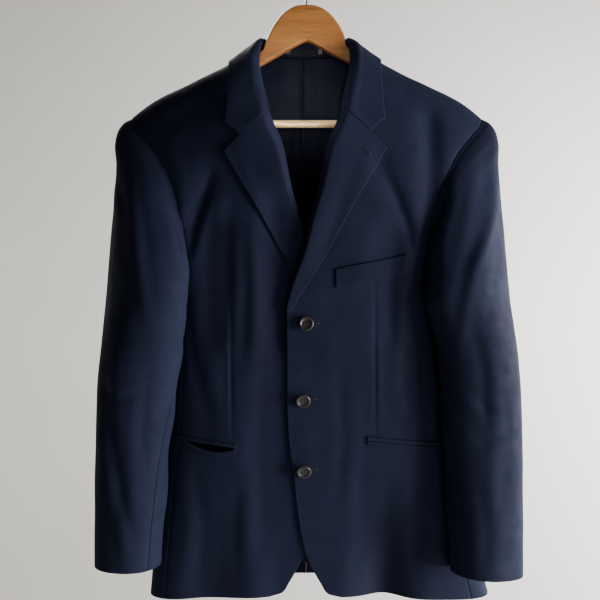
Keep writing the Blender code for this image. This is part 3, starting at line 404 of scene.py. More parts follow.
def grid_normals(points):
    down = np.gradient(points, axis=0)
    across = np.gradient(points, axis=1)
    return unit(np.cross(across, down))


def smooth_along(points, places):
    """A cubic through the rows of a grid, at fractional row places."""
    step = np.maximum(np.linalg.norm(np.diff(points, axis=0), axis=2, keepdims=True), 1e-6)
    rise = np.diff(points, axis=0) / step
    between = (rise[:-1] * step[1:] + rise[1:] * step[:-1]) / (step[:-1] + step[1:])
    slope = np.concatenate((rise[:1], between, rise[-1:]))
    i = np.clip(np.floor(places).astype(int), 0, len(points) - 2)
    t = (places - i)[:, None, None]
    h = step[i]
    return cubic(t, points[i], h * slope[i], points[i + 1], h * slope[i + 1])


def swapped(points):
    return points.transpose(1, 0, 2)


EDGE_PLACES = (0.0, 0.35, 0.9, 1.8, 3.2)        # rows this near an edge, which give it a rolled fold
EDGE_MOST, EDGE_CLEAR = 0.4, 1.4                # their share of a short length, and the even rows' distance


def spread(first, last, steps, length):
    """Fractional places from first to last, which are this many millimetres apart: even steps, and rows at
    EDGE_PLACES from both ends."""
    even = np.linspace(0, 1, steps + 1)
    near = np.array(EDGE_PLACES) * min(1 / length, EDGE_MOST / EDGE_PLACES[-1])
    even = even[(even > near[-1] * EDGE_CLEAR) & (even < 1 - near[-1] * EDGE_CLEAR)]
    return first + (last - first) * np.concatenate((near, even, 1 - near[::-1]))


def edge_distances(points):
    """How far each point of a grid is from its first and last row and column."""
    down = np.linalg.norm(np.diff(points, axis=0), axis=2)
    across = np.linalg.norm(np.diff(points, axis=1), axis=2)
    top = np.concatenate((np.zeros((1, points.shape[1])), np.cumsum(down, axis=0)))
    first = np.concatenate((np.zeros((points.shape[0], 1)), np.cumsum(across, axis=1)), axis=1)
    return {"low": top, "high": top[-1:] - top, "first": first, "last": first[:, -1:] - first}


SEAM_DIP, SEAM_WIDTH = 0.42, 2.0        # how far cloth rolls into a seam, and how near the seam
FOLD_RADIUS, FOLD_THIN = 1.1, 0.3       # an edge's rolled fold, and the share of the thickness left at it
FORM_SHARE = 0.35                       # how much the form's own normals count beside the creased ones


def shell(name, points, normals, thickness, look, inside=None, seams=(), pressed=(), amount=1.0):
    """A thin closed shell of cloth on a grid. Its edges are rolled, and the ones in seams dip into a seam."""
    if pressed or amount:
        points = creased(points, normals, pressed, amount)
    away = edge_distances(points)
    dip = sum(SEAM_DIP * np.exp(-(away[edge] / SEAM_WIDTH) ** 2) for edge in seams) if seams else 0.0
    points = points - normals * (np.zeros(points.shape[:2]) + dip)[..., None]
    normals = unit(FORM_SHARE * normals + (1 - FORM_SHARE) * matched(grid_normals(points), normals))
    nearest = np.minimum.reduce([away[edge] for edge in away])
    roll = np.clip(nearest / FOLD_RADIUS, 0, 1)
    half = thickness / 2 * (FOLD_THIN + (1 - FOLD_THIN) * np.sqrt(1 - (1 - roll) ** 2))
    skins = [points + normals * half[..., None], points - normals * half[..., None]]
    rows, cols = points.shape[:2]
    index = np.arange(rows * cols).reshape(rows, cols)
    a, b, c, d = index[:-1, :-1], index[:-1, 1:], index[1:, 1:], index[1:, :-1]
    outer = np.stack((a, b, c, d), axis=-1).reshape(-1, 4)
    inner = outer[:, ::-1] + rows * cols
    rim = np.concatenate((index[0, :], index[1:, -1], index[-1, -2::-1], index[-2:0:-1, 0]))
    after = np.roll(rim, -1)
    edge = np.stack((rim, rim + rows * cols, after + rows * cols, after), axis=-1)
    faces = np.concatenate((outer, inner, edge))
    mesh = bpy.data.meshes.new(name)
    corners = np.concatenate([skin.reshape(-1, 3) for skin in skins]) * MM
    mesh.from_pydata(corners.tolist(), [], faces.tolist())
    bm = bmesh.new()
    bm.from_mesh(mesh)
    filled(mesh, bm).shade_smooth()
    made = linked(name, mesh)
    mesh.materials.append(look)
    if inside:
        mesh.materials.append(inside)
        which = np.zeros(len(faces), dtype=np.int32)
        which[len(outer):len(outer) + len(inner)] = 1
        mesh.polygons.foreach_set("material_index", which)
    return made


def matched(normals, like):
    """The same normals, each turned to the side that the others point to."""
    return normals * np.where((normals * like).sum(axis=-1, keepdims=True) < 0, -1.0, 1.0)


# ---------------------------------------------------------------- fronts, sides and backs

FRONT_EDGE = Curve(
    (-873, -868, -855, -832, -817, -802, -764, -720, -654, -599, -492, -470, -447, -410, -364, -318,
     -267, -240, -211, -190, -165, -145, -125),
    (48.5, 30.5, 21.5, 8.5, 1.5, -2.5, -9.5, -14.5, -22.5, -24.5, -24.5, -20, -14.5, -2.5, 7.5, 19.5,
     30, 41.5, 52, 63, 72, 76.5, 77.5))
HEM_IN, NECK_POINT = -873.0, -125.0             # ends of a front's inner edge
ARM_ROW_IN, ARMPIT_CORNER, ARMPIT_DIP = -470.0, -424.0, 15.0
TIP_X, TIP_Z = 246.0, -221.0                    # the shoulder's tip
BACK_NECK = -125.0
ARMHOLE = curves(
    "height  front  back",
    (-424,   162,   168),
    (-390,   164,   178),
    (-359,   171,   185),
    (-328,   179,   191),
    (-304,   190,   197),
    (-279,   203,   207),
    (-253,   224,   225),
    (-229,   243,   243),
    (-221,   246,   246),
)
SIDE_SEAM = curves(
    "height  front  back",
    (-424,   0.815, 0.845),
    (-475,   0.880, 0.870),
    (-600,   0.890, 0.870),
    (-880,   0.890, 0.880),
)
HEM_SIDE = HEM_BACK = -880.0
# How far the wearer's right front lies behind the left one, below the lapels and along them, and where.
UNDER_LAP, UNDER_LAPEL = 3.2, 4.3
LAPEL_END, UNDER_LAP_TOP, UNDER_LAP_OUT = -560.0, -300.0, -75.0
LAPEL_END_FADE, TOP_FADE, OUT_FADE = 50, 60, 40
LOWER_ROWS = (0, .012, .04, .08, .13, .2, .29, .38, .48, .58, .68, .78, .88, 1)
UPPER_ROWS = (.13, .26, .39, .52, .65, .76, .85, .92, .965, .99, 1)
SIDE_COLUMNS = 5
ARM = len(LOWER_ROWS) - 1
LAST_ROW = ARM + len(UPPER_ROWS)
ARMPIT_CURVE_ROW = 9
CORNER_BLEND = 0.6              # share of a side panel's width from which it takes up its neighbour's folds


def row_heights(low, arm, high, rows):
    """Heights at fractional rows, from the hem to the top, with the armpit's row in between."""
    at = [low + (arm - low) * t for t in LOWER_ROWS] + [arm + (high - arm) * t for t in UPPER_ROWS]
    return np.interp(rows, range(LAST_ROW + 1), at)


def outer_edge(side, face, z):
    """x of a front's or back's outer edge: the side seam, and the armhole above it."""
    arm = ARMHOLE.front(z) if face == FRONT else ARMHOLE.back(z)
    share = SIDE_SEAM.front(z) if face == FRONT else SIDE_SEAM.back(z)
    return side * np.where(z >= ARMPIT_CORNER, arm, share * half_width(side, z))


def under_lap(side, x, z):
    """How far a front lies behind the body's form, under the other front."""
    if side == LEFT:
        return 0.0
    behind = UNDER_LAP + UNDER_LAPEL * ease((z - LAPEL_END) / LAPEL_END_FADE)
    return behind * ease((x - UNDER_LAP_OUT) / OUT_FADE) * ease((UNDER_LAP_TOP - z) / TOP_FADE)


def front_place(side, x, z):
    """Points and normals of a front at places in front view."""
    points = body_points(x, z, FRONT)
    normals = body_normal(points, FRONT)
    points[..., 1] += under_lap(side, points[..., 0], points[..., 2])
    return points, normals


def face_place(side, face, x, z):
    """Points and normals of a front, or of a back, at these places."""
    if face == FRONT:
        return front_place(side, x, z)
    points = body_points(x, z, BACK)
    return points, body_normal(points, BACK)


PANEL_STEPS, PANEL_LENGTH, PANEL_WIDTH = 190, 740, 190
PANEL_COLUMNS = {FRONT: 88, BACK: 56}


def panel_places(side, face, rows, columns):
    """x and height of a front or back at fractional rows and shares of its width, in front view."""
    out_z = row_heights(HEM_SIDE, ARMPIT_CORNER, TIP_Z, rows)
    if face == FRONT:
        in_z = row_heights(HEM_IN, ARM_ROW_IN, NECK_POINT, rows)
        in_x = MIDLINE + side * FRONT_EDGE(in_z)
    else:
        in_z = row_heights(HEM_BACK, ARM_ROW_IN, BACK_NECK, rows)
        in_x = np.zeros(len(rows))
    out_x = outer_edge(side, face, out_z)
    raised = ease((rows - ARM) / (LAST_ROW - ARM))
    t = columns[None, :]
    x = in_x[:, None] + (out_x - in_x)[:, None] * t
    z = in_z[:, None] + (out_z - in_z)[:, None] * t
    end_x = in_x[-1] + (side * TIP_X - in_x[-1]) * t
    end_z = in_z[-1] + (TIP_Z - in_z[-1]) * t
    under_collar = np.abs(end_x) < abs(MIDLINE + side * FRONT_EDGE(NECK_POINT)) if face == BACK else False
    top = np.where(under_collar, BACK_NECK, SHOULDER_RIDGE(np.abs(end_x)))
    z = z + (top - end_z) * raised[:, None] ** 2
    return x, np.minimum(z, SHOULDER_RIDGE(np.abs(x)) - 0.02)


def panel(side, face):
    """A front or back at fine spacing, with its normals and its seam gaps."""
    rows = spread(0, LAST_ROW, PANEL_STEPS, PANEL_LENGTH)
    x, z = panel_places(side, face, rows, spread(0, 1, PANEL_COLUMNS[face], PANEL_WIDTH))
    points, normals = face_place(side, face, x, z)
    points[-1, :, 1] += face * SEAM_GAP / 2
    return narrowed(points), normals


def narrowed(points):
    """Moves the first and last columns inward along the rows, which leaves the seam gap."""
    points = np.array(points)
    inner = len(EDGE_PLACES)
    for edge, beside in ((0, inner - 1), (-1, -inner)):
        points[:, edge] += unit(points[:, beside] - points[:, edge]) * SEAM_GAP / 2
    return points


def side_panel(side, rows, columns):
    """A side panel: round the corner of the body, from the front's side seam to the back's."""
    heights = [HEM_SIDE + (ARMPIT_CORNER - HEM_SIDE) * t for t in LOWER_ROWS]
    base = np.interp(rows, range(ARM + 1), heights)[:, None]
    share = columns[None, :]
    power = BODY.squareness(base)
    wide = half_width(side, base)
    start = np.arcsin((np.abs(outer_edge(side, FRONT, base)) / wide) ** (power / 2))
    end = math.pi - np.arcsin((np.abs(outer_edge(side, BACK, base)) / wide) ** (power / 2))
    angle = start + (end - start) * share
    z = base - ARMPIT_DIP * np.sin(math.pi * share) ** 1.5 * ease((rows[:, None] - ARMPIT_CURVE_ROW) / 4)
    front = angle < math.pi / 2
    power_here = BODY.squareness(z)
    x = side * half_width(side, z) * np.sin(angle) ** (2 / power_here)
    depth = np.abs(np.cos(angle)) ** (2 / power_here)
    y = np.where(front, -BODY.front(z), BODY.back(z)) * depth
    for edge, face in ((0, FRONT), (-1, BACK)):
        pressed = body_y(x[:, edge], z[:, edge], face) - y[:, edge]
        fade = 1 - share if edge == 0 else share
        y = y + pressed[:, None] * ease((fade - CORNER_BLEND) / (1 - CORNER_BLEND))
    points = np.stack((x, y, z), axis=-1)
    normals = np.where(front[..., None], body_normal(points, FRONT), body_normal(points, BACK))
    return narrowed(points), normals


# ---------------------------------------------------------------- sleeves

SLEEVE = {
    LEFT: curves(
        "height  x    y    width  depth  lean",
        (-475,   230, -4,  54,    77,    20),
        (-545,   240, -18, 49,    64,    8),
        (-612,   241, -30, 47,    54,    -4),
        (-677,   240, -38, 48,    45,    -12),
        (-743,   239, -46, 48,    40,    -18),
        (-825,   238, -58, 47,    36,    -20),
    ),
    RIGHT: curves(
        "height  x    y    width  depth  lean",
        (-475,   224, -4,  56,    77,    20),
        (-545,   226, -18, 56.5,  64,    8),
        (-612,   230, -30, 52,    54,    -4),
        (-677,   234, -38, 48,    45,    -12),
        (-743,   236, -45, 46,    40,    -18),
        (-816,   238, -52, 42,    37,    -18),
    ),
}
SLEEVE_SQUARENESS = 2.25
SIDE_LEAN = 0.6                                 # share of a section's lean that its width takes
FRONT_SEAM_PAST, BACK_SEAM_PAST = 1, 4          # the armhole's columns from its corners to the sleeve's seams
BICEP = -475.0
CUFF = {LEFT: (-838.0, -834.0), RIGHT: (-826.0, -828.0)}
CAP_STEPS = (.07, .16, .27, .4, .55, .7, .85, 1)
ARM_STEPS = (.08, .18, .3, .43, .57, .71, .86, 1)
ROPING, ROPING_WIDTH = 0.5, 3.0                 # the sleeve head's rise over the armhole seam
CAP_LEAVE, UNDERARM_LEAVE, CAP_REACH, CAP_FLARE = 0.35, 0.45, 54.0, 0.06
SLOPE_OVER, CLEAR_FROM, PUSH_SOFTNESS, PUSH_END = 20.0, 0.45, 4.0, 30.0


def clear_of_body(side, points):
    """Moves points of a sleeve outward where they would press into the body."""
    x, y, z = points[..., 0], points[..., 1], points[..., 2]
    deep = np.where(y < 0, BODY.front(z), BODY.back(z)) + SLEEVE_CLEAR
    share = np.abs(y) / deep
    power = BODY.squareness(z)
    least = (half_width(side, z) + SLEEVE_CLEAR) * (1 - np.minimum(share, 1.0) ** power) ** (1 / power)
    gap = (np.abs(x) - least) / PUSH_SOFTNESS
    pushed = side * (least + PUSH_SOFTNESS * np.log1p(np.exp(np.minimum(gap, PUSH_END))))
    moved = np.array(points)
    moved[..., 0] = np.where((share >= 1) | (gap > PUSH_END), x, pushed)
    return moved


# How far a sleeve's front leans in over the side of the body at each height, and how it fades across and
# in depth.
TUCK = {
    LEFT: Curve((-345, -385, -420, -520, -611, -665, -750, -820), (0, 12, 15, 17, 17, 12, 4, 0)),
    RIGHT: Curve((-345, -385, -420, -470, -520, -611, -700, -800), (0, 12, 14, 9, 7, 4, 3, 0)),
}
TUCK_PAST, TUCK_ACROSS, TUCK_FROM, TUCK_AHEAD = 6, 40, 22, 28


def tucked(side, points):
    """Leans the front of a sleeve's inner side in, to where it meets the armhole's line in front view."""
    x, y, z = points[..., 0], points[..., 1], points[..., 2]
    inner = ease((SLEEVE[side].x(z) + TUCK_PAST - np.abs(x)) / TUCK_ACROSS)
    ahead = ease((-y - TUCK_FROM) / TUCK_AHEAD)
    moved = np.array(points)
    moved[..., 0] = x - side * TUCK[side](z) * inner * ahead
    return clear_of_body(side, moved)


def sleeve_section(side, z, angle):
    """Points round the arm's part of a sleeve, at heights and angles from its outer side."""
    form = SLEEVE[side]
    power = 2 / SLEEVE_SQUARENESS
    c, s = np.cos(angle), np.sin(angle)
    across = form.width(z) * np.copysign(np.abs(c) ** power, c)
    along = form.depth(z) * np.copysign(np.abs(s) ** power, s)
    lean = np.radians(form.lean(z))
    x = form.x(z) + across * np.cos(lean) - along * np.sin(lean)
    y = form.y(z) - across * np.sin(lean) * SIDE_LEAN - along * np.cos(lean)
    return clear_of_body(side, np.stack((side * x, y, z + 0 * x), axis=-1))


ARMHOLE_STEP = 4.0


def armhole_loop(side):
    """The armhole's points and normals: tip, down the front, under the arm, up the back."""
    edge = {}
    z = np.array([ARMPIT_CORNER + (TIP_Z - ARMPIT_CORNER) * t for t in (0, *UPPER_ROWS)])
    for face in (FRONT, BACK):
        x = outer_edge(side, face, z)
        points, normals = face_place(side, face, x, z)
        x_in = x - side * ARMHOLE_STEP
        inward = face_place(side, face, x_in, np.minimum(z, SHOULDER_RIDGE(np.abs(x_in))))[0] - points
        points = points + unit(inward) * SEAM_GAP / 2
        edge[face] = points, normals
    panel_points, panel_normals = side_panel(side, np.array([float(ARM)]), np.linspace(0, 1, SIDE_COLUMNS + 1))
    front, back = edge[FRONT], edge[BACK]
    tip = body_points(side * TIP_X, TIP_Z, FRONT) * (1, 0, 1)
    tip_normal = front[1][-1] + back[1][-1]
    points = np.concatenate(([tip], front[0][-2::-1], panel_points[0, 1:-1], back[0][:-1]))
    normals = np.concatenate(([tip_normal], front[1][-2::-1], panel_normals[0, 1:-1], back[1][:-1]))
    return points, unit(normals)


CAP_TURNS = (0.02, 0.24, 0.385, 0.495, 0.625, 0.78, 1.02)      # where the armhole's keys land round the arm
CAP_SWELL, CAP_ARRIVE = 0.6, 1.1


def sleeve_rings(side):
    """Rings of a sleeve from the armhole to the cuff, as its CAD form has them."""
    points, normals = armhole_loop(side)
    count = len(points)
    arm_side = len(UPPER_ROWS)
    keys = (0, arm_side * 0.5, arm_side, arm_side + SIDE_COLUMNS / 2, arm_side + SIDE_COLUMNS,
            count - arm_side * 0.5, count)
    turn = Curve(keys, CAP_TURNS)
    angles = 2 * math.pi * turn(np.arange(count))
    along = np.roll(points, -1, axis=0) - np.roll(points, 1, axis=0)
    outward = unit(np.cross(normals, along) * side)
    first = points + outward * SEAM_GAP
    second = first + outward * ROPING_WIDTH + normals * ROPING
    ends = sleeve_section(side, BICEP, angles)
    span = np.linalg.norm(ends - second, axis=1, keepdims=True)
    share = CAP_LEAVE + UNDERARM_LEAVE * np.maximum(outward[:, 2:], 0)
    leave = (outward + CAP_SWELL * normals) * np.minimum(span * share, CAP_REACH)
    slope = (sleeve_section(side, BICEP - SLOPE_OVER, angles) - ends) / SLOPE_OVER
    slope[:, 0] = side * CAP_FLARE * np.maximum(np.cos(angles), 0.0)
    arrive = slope * span * CAP_ARRIVE
    rings = [first, second]
    for t in CAP_STEPS:
        ring = cubic(t, second, leave, ends, arrive)
        clear = tucked(side, clear_of_body(side, ring))
        rings.append(ring + (clear - ring) * ease(t / CLEAR_FROM))
    cuff_out, cuff_in = CUFF[side]
    for t in ARM_STEPS:
        cuff = (cuff_out + cuff_in) / 2 + (cuff_out - cuff_in) / 2 * np.cos(angles)
        rings.append(tucked(side, sleeve_section(side, BICEP + (cuff - BICEP) * t, angles)))
    return np.array(rings), normals


SLEEVE_STEPS, SLEEVE_LENGTH = 165, 640
RUN_ON, BEYOND = 3, 0.35        # columns taken past a sleeve piece's edges, and where its slope is read there
HEAD_BLEND = 1.2                # rows over which a sleeve's normals turn from the armhole's


def sleeve_piece(side, first, last, steps, length):
    """A fine grid over the sleeve's columns first to last, which may run on past the last one."""
    rings, loop_normals = sleeve_rings(side)
    around = np.arange(first - RUN_ON, last + RUN_ON + 1) % rings.shape[1]
    columns = spread(RUN_ON, RUN_ON + last - first, steps, length)
    past = np.concatenate((columns[:1] - BEYOND, columns, columns[-1:] + BEYOND))
    rows = spread(0, len(rings) - 1, SLEEVE_STEPS, SLEEVE_LENGTH)
    fine = smooth_along(swapped(smooth_along(swapped(rings[:, around]), past)), rows)
    normals = grid_normals(fine) * side
    fine, normals = fine[:, 1:-1], normals[:, 1:-1]
    start = smooth_along(loop_normals[around][:, None, :], columns)[:, 0]
    blend = ease(rows / HEAD_BLEND)[:, None, None]
    normals = unit(normals * blend + start[None] * (1 - blend))
    return narrowed(fine), normals


# ---------------------------------------------------------------- lapels and collar

LAPEL_LEAF = Curve((-490, -476, -437, -398, -354, -312, -272), (-18.5, -10.5, 14.5, 37.5, 61.5, 86, 109))
LAPEL_FOOT, GORGE_IN, LAPEL_TIP = -490.0, -218.0, -272.0
NOTCH_SHARE, NOTCH_RISE = 0.62, 2.0
LAPEL_GAP = 1.2
ROLL_HEIGHT = {LEFT: 5.0, RIGHT: 6.0}
ROLL_START, ROLL_RISE = {LEFT: 0.04, RIGHT: 0.38}, 0.4     # shares of the lapel's length
LAPEL_WIDE = (0, 1, 34, 80)                     # spread over a lapel's width


HUMP_AT, FALL_AT, FALL_DEPTH = 0.16, 0.1, 0.85    # of the roll across a lapel, in shares of its width


def hump(share):
    """The lapel's roll across its width: a quick rise at the fold and a long fall to the leaf's edge."""
    return ease(share / HUMP_AT) * (1 - FALL_DEPTH * ease((share - FALL_AT) / (1 - FALL_AT)))


def lapel_grid(side):
    """A lapel at fine spacing, from its foot to the gorge and from the roll line to the leaf's edge."""
    drop = RIGHT_DROP if side == RIGHT else 0.0
    v = spread(0, 1, 84, 270)[:, None]
    w = spread(*LAPEL_WIDE)[None, :]
    roll_z = LAPEL_FOOT + (GORGE_IN - LAPEL_FOOT) * v - drop * v
    leaf_z = LAPEL_FOOT + (LAPEL_TIP - LAPEL_FOOT) * v
    roll_x, leaf_x = FRONT_EDGE(roll_z) - 0.5, LAPEL_LEAF(leaf_z)
    peak = np.minimum(w / NOTCH_SHARE, (1 - w) / (1 - NOTCH_SHARE))
    x = MIDLINE + side * (roll_x + (leaf_x - roll_x) * w)
    z = roll_z + (leaf_z - drop * v - roll_z) * w + NOTCH_RISE * peak * v ** 8
    points, normals = front_place(side, x, z)
    lift = CLOTH + LAPEL_GAP + ROLL_HEIGHT[side] * ease((v - ROLL_START[side]) / ROLL_RISE) * hump(w)
    points = points + normals * lift[..., None]
    return points, matched(grid_normals(points), normals)


Station = namedtuple("Station", "face neck_x neck_z fold_x fold_y fold_z leaf_x leaf_z bend drop")
COLLAR_STATIONS = (
    Station(BACK,  0,    -125, 0,    36,    -95,    0,     -143,   0,   0),
    Station(BACK,  20,   -125, 18,   35,    -95,    26,    -143,   0,   0),
    Station(BACK,  40,   -125, 35,   31,    -96.5,  54,    -145,   0,   0),
    Station(BACK,  58,   -125, 49,   23,    -99.5,  79,    -147.5, 0,   0),
    Station(BACK,  68,   -125, 56,   13.5,  -103.5, 95,    -146.5, 0,   0),
    Station(BACK,  74,   -125, 58.5, 6,     -106,   102,   -144.0, 0,   0),
    Station(FRONT, None, -125, 59.5, 0,     -108.0, 104.5, -142.0, 0,   0),
    Station(FRONT, None, -130, 61.5, -5,    -113.0, 104.5, -146,   0,   .1),
    Station(FRONT, None, -138, 63,   -11,   -122.0, 104,   -157,   0,   .2),
    Station(FRONT, None, -152, 63.5, -19,   -138,   104,   -175,   .02, .3),
    Station(FRONT, None, -172, 61.5, -30,   -160,   104.5, -196,   .10, .5),
    Station(FRONT, None, -191, 56.5, -40,   -183,   105.5, -213,   .30, .8),
    Station(FRONT, None, -204, 51.5, -47.5, -201,   106.5, -224,   .60, .9),
    Station(FRONT, None, -213, 47.3, -53,   -216,   107.5, -232.5, 1,   1),
)
NOTCH_X, NOTCH_Z = 86.5, -249.4
COLLAR_FOLD_RADIUS, FOLD_MOST = 3.3, 0.42       # the fold's radius, and its most as a share of the stand
NECK_SEAM_GAP, COLLAR_LAY_GAP = 1.8, 2.3
FALL_SHARES = (.14, .32, .46, .62, .8, 1)
FOLD_ANGLES = (45, 90, 135, 175)
COLLAR_SPRING, COLLAR_NOTCH_GAP = 1.2, 1.6


def collar_section(side, station):
    """Points of the collar from its neck seam, up the stand, over the fold and down to the leaf edge."""
    drop = RIGHT_DROP * station.drop if side == RIGHT else 0.0
    neck_z = station.neck_z + NECK_SEAM_GAP
    if station.face == BACK:
        neck = body_points(side * station.neck_x, neck_z, BACK)
        shift = MIDLINE * station.neck_x / float(FRONT_EDGE(NECK_POINT))
    else:
        neck_x = MIDLINE + side * (float(FRONT_EDGE(station.neck_z)) - NECK_SEAM_GAP)
        neck = body_points(neck_x, neck_z, FRONT)
        shift = MIDLINE
    fold = np.array((shift + side * station.fold_x, station.fold_y, station.fold_z - drop))
    up = fold - neck
    height = np.linalg.norm(up)
    up /= height
    out = body_normal(neck, station.face)
    out = unit(out - up * np.dot(out, up))
    radius = min(COLLAR_FOLD_RADIUS, FOLD_MOST * height)
    centre = fold - up * radius
    stand_top = centre - out * radius
    section = [neck, (neck + stand_top) / 2, stand_top]
    for angle in FOLD_ANGLES:
        turn = math.radians(angle)
        section.append(centre + radius * (math.sin(turn) * up - math.cos(turn) * out))
    lay = (CLOTH + COLLAR_CLOTH) / 2 + COLLAR_LAY_GAP
    leaf_x = shift + side * station.leaf_x
    slope = float(SHOULDER_RIDGE(abs(leaf_x)) - SHOULDER_RIDGE(station.leaf_x))
    leaf_z = station.leaf_z + slope - drop
    leaf = lifted_clear(body_points(leaf_x, leaf_z, station.face), station.face, lay)
    start = section[-1]
    notch = np.array((shift + side * NOTCH_X, 0, NOTCH_Z + COLLAR_NOTCH_GAP - drop))
    bend = (notch - (start + (leaf - start) * NOTCH_SHARE)) * (1, 0, 1) * station.bend
    for w in FALL_SHARES:
        point = start + (leaf - start) * w
        if station.bend:
            moved = point + bend * min(w / NOTCH_SHARE, (1 - w) / (1 - NOTCH_SHARE))
            moved[1] += body_y(moved[0], moved[2], FRONT) - body_y(point[0], point[2], FRONT)
            point = moved
        section.append(lifted_clear(point, station.face, lay + COLLAR_SPRING * (1 - w)))
    return section


def collar_coarse():
    """The collar's sections, from the wearer's right end to the left one."""
    right = [collar_section(RIGHT, station) for station in reversed(COLLAR_STATIONS)]
    left = [collar_section(LEFT, station) for station in COLLAR_STATIONS[1:]]
    return np.array(right + left)


FALL_FROM = 3 + len(FOLD_ANGLES) - 1        # the collar's column where its fall starts
GORGE_FADE, GORGE_GAP = 22.0, 0.25


def collar_grid():
    """The collar at fine spacing. Along the gorge its ends meet the lapels' tops."""
    coarse = collar_coarse()
    fine = smooth_along(coarse, spread(0, len(coarse) - 1, 150, 480))
    columns = spread(0, coarse.shape[1] - 1, 52, 75)
    fine = swapped(smooth_along(swapped(fine), columns))
    shares = np.interp(columns, FALL_FROM + np.arange(len(FALL_SHARES) + 1), (0, *FALL_SHARES))
    hold = np.interp(columns, (1, FALL_FROM), (0, 1)) * ease((NOTCH_SHARE + 0.1 - shares) / 0.1)
    away = edge_distances(fine)
    for side, end, edge in ((RIGHT, 0, "low"), (LEFT, -1, "high")):
        top = lapel_grid(side)[0][-1]
        at = spread(*LAPEL_WIDE)
        target = np.stack([np.interp(shares, at, top[:, axis]) for axis in range(3)], axis=1)
        shift = (target - fine[end] + (0, 0, GORGE_GAP)) * hold[:, None]
        fade = ease(1 - away[edge] / GORGE_FADE)
        fine = fine + shift[None] * fade[..., None]
    return fine, grid_normals(fine)


# ---------------------------------------------------------------- trims

TRIM_LIFT = CLOTH / 2 + LAY_GAP + TRIM_CLOTH / 2
WELT_IN, WELT_OUT, WELT_HEIGHT = (38.4, -459.0), (134.2, -440.0), 25.5
JET_HEIGHT = 5.0
Pocket = namedtuple("Pocket", "x_in z_in x_out z_out gape")
HIP_POCKET = {
    LEFT: Pocket(80.5, -662.0, 183.0, -673.0, 0.8),
    RIGHT: Pocket(-94.5, -672.5, -182.5, -661.0, 9.5),
}
LEAST_GAPE, GAPE_OUT = 0.8, -166.0
BAG_PAST, BAG_ABOVE, BAG_BELOW, BAG_DEPTH = 4.0, 9.0, 25.0, 9.0


def mouth_top(side, x):
    """Height of a hip pocket's upper edge."""
    pocket = HIP_POCKET[side]
    return pocket.z_in + (pocket.z_out - pocket.z_in) * (x - pocket.x_in) / (pocket.x_out - pocket.x_in)


def mouth_foot(side, x):
    """Height of a hip pocket's lower edge, which sags where the pocket gapes."""
    pocket = HIP_POCKET[side]
    out = GAPE_OUT if side == RIGHT else pocket.x_out
    share = np.clip((x - pocket.x_in) / (out - pocket.x_in), 0.0, 1.0)
    return mouth_top(side, x) - np.maximum(pocket.gape * np.sin(math.pi * share) ** 0.8, LEAST_GAPE)


def laid_on_front(side, x, top, foot, height, lift=TRIM_LIFT):
    """A band over a front between two heights at each x, with its creases."""
    v = spread(0, 1, 8, height)[:, None]
    z = top[None, :] + (foot - top)[None, :] * v
    x = x[None, :] + 0 * z
    points, normals = front_place(side, x, z)
    points = creased(points, normals, BODY_CREASES)
    return points + normals * lift, normals


# ---------------------------------------------------------------- materials

def nodes_of(name):
    """A new material, its node tree and its shader."""
    made = bpy.data.materials.new(name)
    made.use_nodes = True
    tree = made.node_tree
    return made, tree, tree.nodes["Principled BSDF"]


def texture(tree, kind, **values):
    """A texture node with these inputs and settings."""
    node = tree.nodes.new(kind)
    for key, value in values.items():
        if key in node.inputs:
            node.inputs[key].default_value = value
        else:
            setattr(node, key, value)
    return node


def mapped(tree, scale):
    """Object coordinates in metres, scaled."""
    place = tree.nodes.new("ShaderNodeTexCoord")
    mapping = tree.nodes.new("ShaderNodeMapping")
    mapping.inputs["Scale"].default_value = scale
    tree.links.new(place.outputs["Object"], mapping.inputs["Vector"])
    return mapping.outputs["Vector"]


def ramp(tree, value, *stops):
    """A colour that follows a value through (at, colour) stops."""
    node = tree.nodes.new("ShaderNodeValToRGB")
    while len(node.color_ramp.elements) < len(stops):
        node.color_ramp.elements.new(0.5)
    for element, (at, color) in zip(node.color_ramp.elements, stops):
        element.position = at
        element.color = (*color, 1)
    tree.links.new(value, node.inputs["Fac"])
    return node.outputs["Color"]


MIX_COLORS, MIX_RESULT = (6, 7), 2                # a mix node's sockets for colours


def times(tree, *colors):
    """One colour multiplied by another."""
    node = tree.nodes.new("ShaderNodeMix")
    node.data_type, node.blend_type = "RGBA", "MULTIPLY"
    node.inputs["Factor"].default_value = 1.0
    for socket, color in zip(MIX_COLORS, colors):
        tree.links.new(color, node.inputs[socket])
    return node.outputs[MIX_RESULT]


def varied(tree, socket, spots, low, high):
    """Lets a value go between two with a texture."""
    tree.links.new(ramp(tree, spots, (0.3, (low,) * 3), (0.7, (high,) * 3)), socket)


def fixed(shader, values):
    """Values that are the same all over the surface, on the shader's own sockets."""
    for socket, value in values.items():
        shader.inputs[socket].default_value = value


def bumped(tree, shader, heights):
    """Chains bump nodes: (height output, strength, distance in metres)."""
    normal = None
    for height, strength, distance in heights:
        node = tree.nodes.new("ShaderNodeBump")
        node.inputs["Strength"].default_value = strength
        node.inputs["Distance"].default_value = distance
        tree.links.new(height, node.inputs["Height"])
        if normal is not None:
            tree.links.new(normal, node.inputs["Normal"])
        normal = node.outputs["Normal"]
    tree.links.new(normal, shader.inputs["Normal"])


def scaled_noise(tree, scale, detail=2.0, stretch=(1, 1, 1)):
    node = texture(tree, "ShaderNodeTexNoise", Scale=scale, Detail=detail, Roughness=0.6)
    tree.links.new(mapped(tree, stretch), node.inputs["Vector"])
    return node.outputs["Fac"]


def ribs(tree, scale, distortion, direction="X"):
    """Ribs of yarn, at a wave texture's scale."""
    node = texture(tree, "ShaderNodeTexWave", Scale=scale, Distortion=distortion, bands_direction=direction)
    tree.links.new(mapped(tree, (1, 1, 1)), node.inputs["Vector"])
    return node


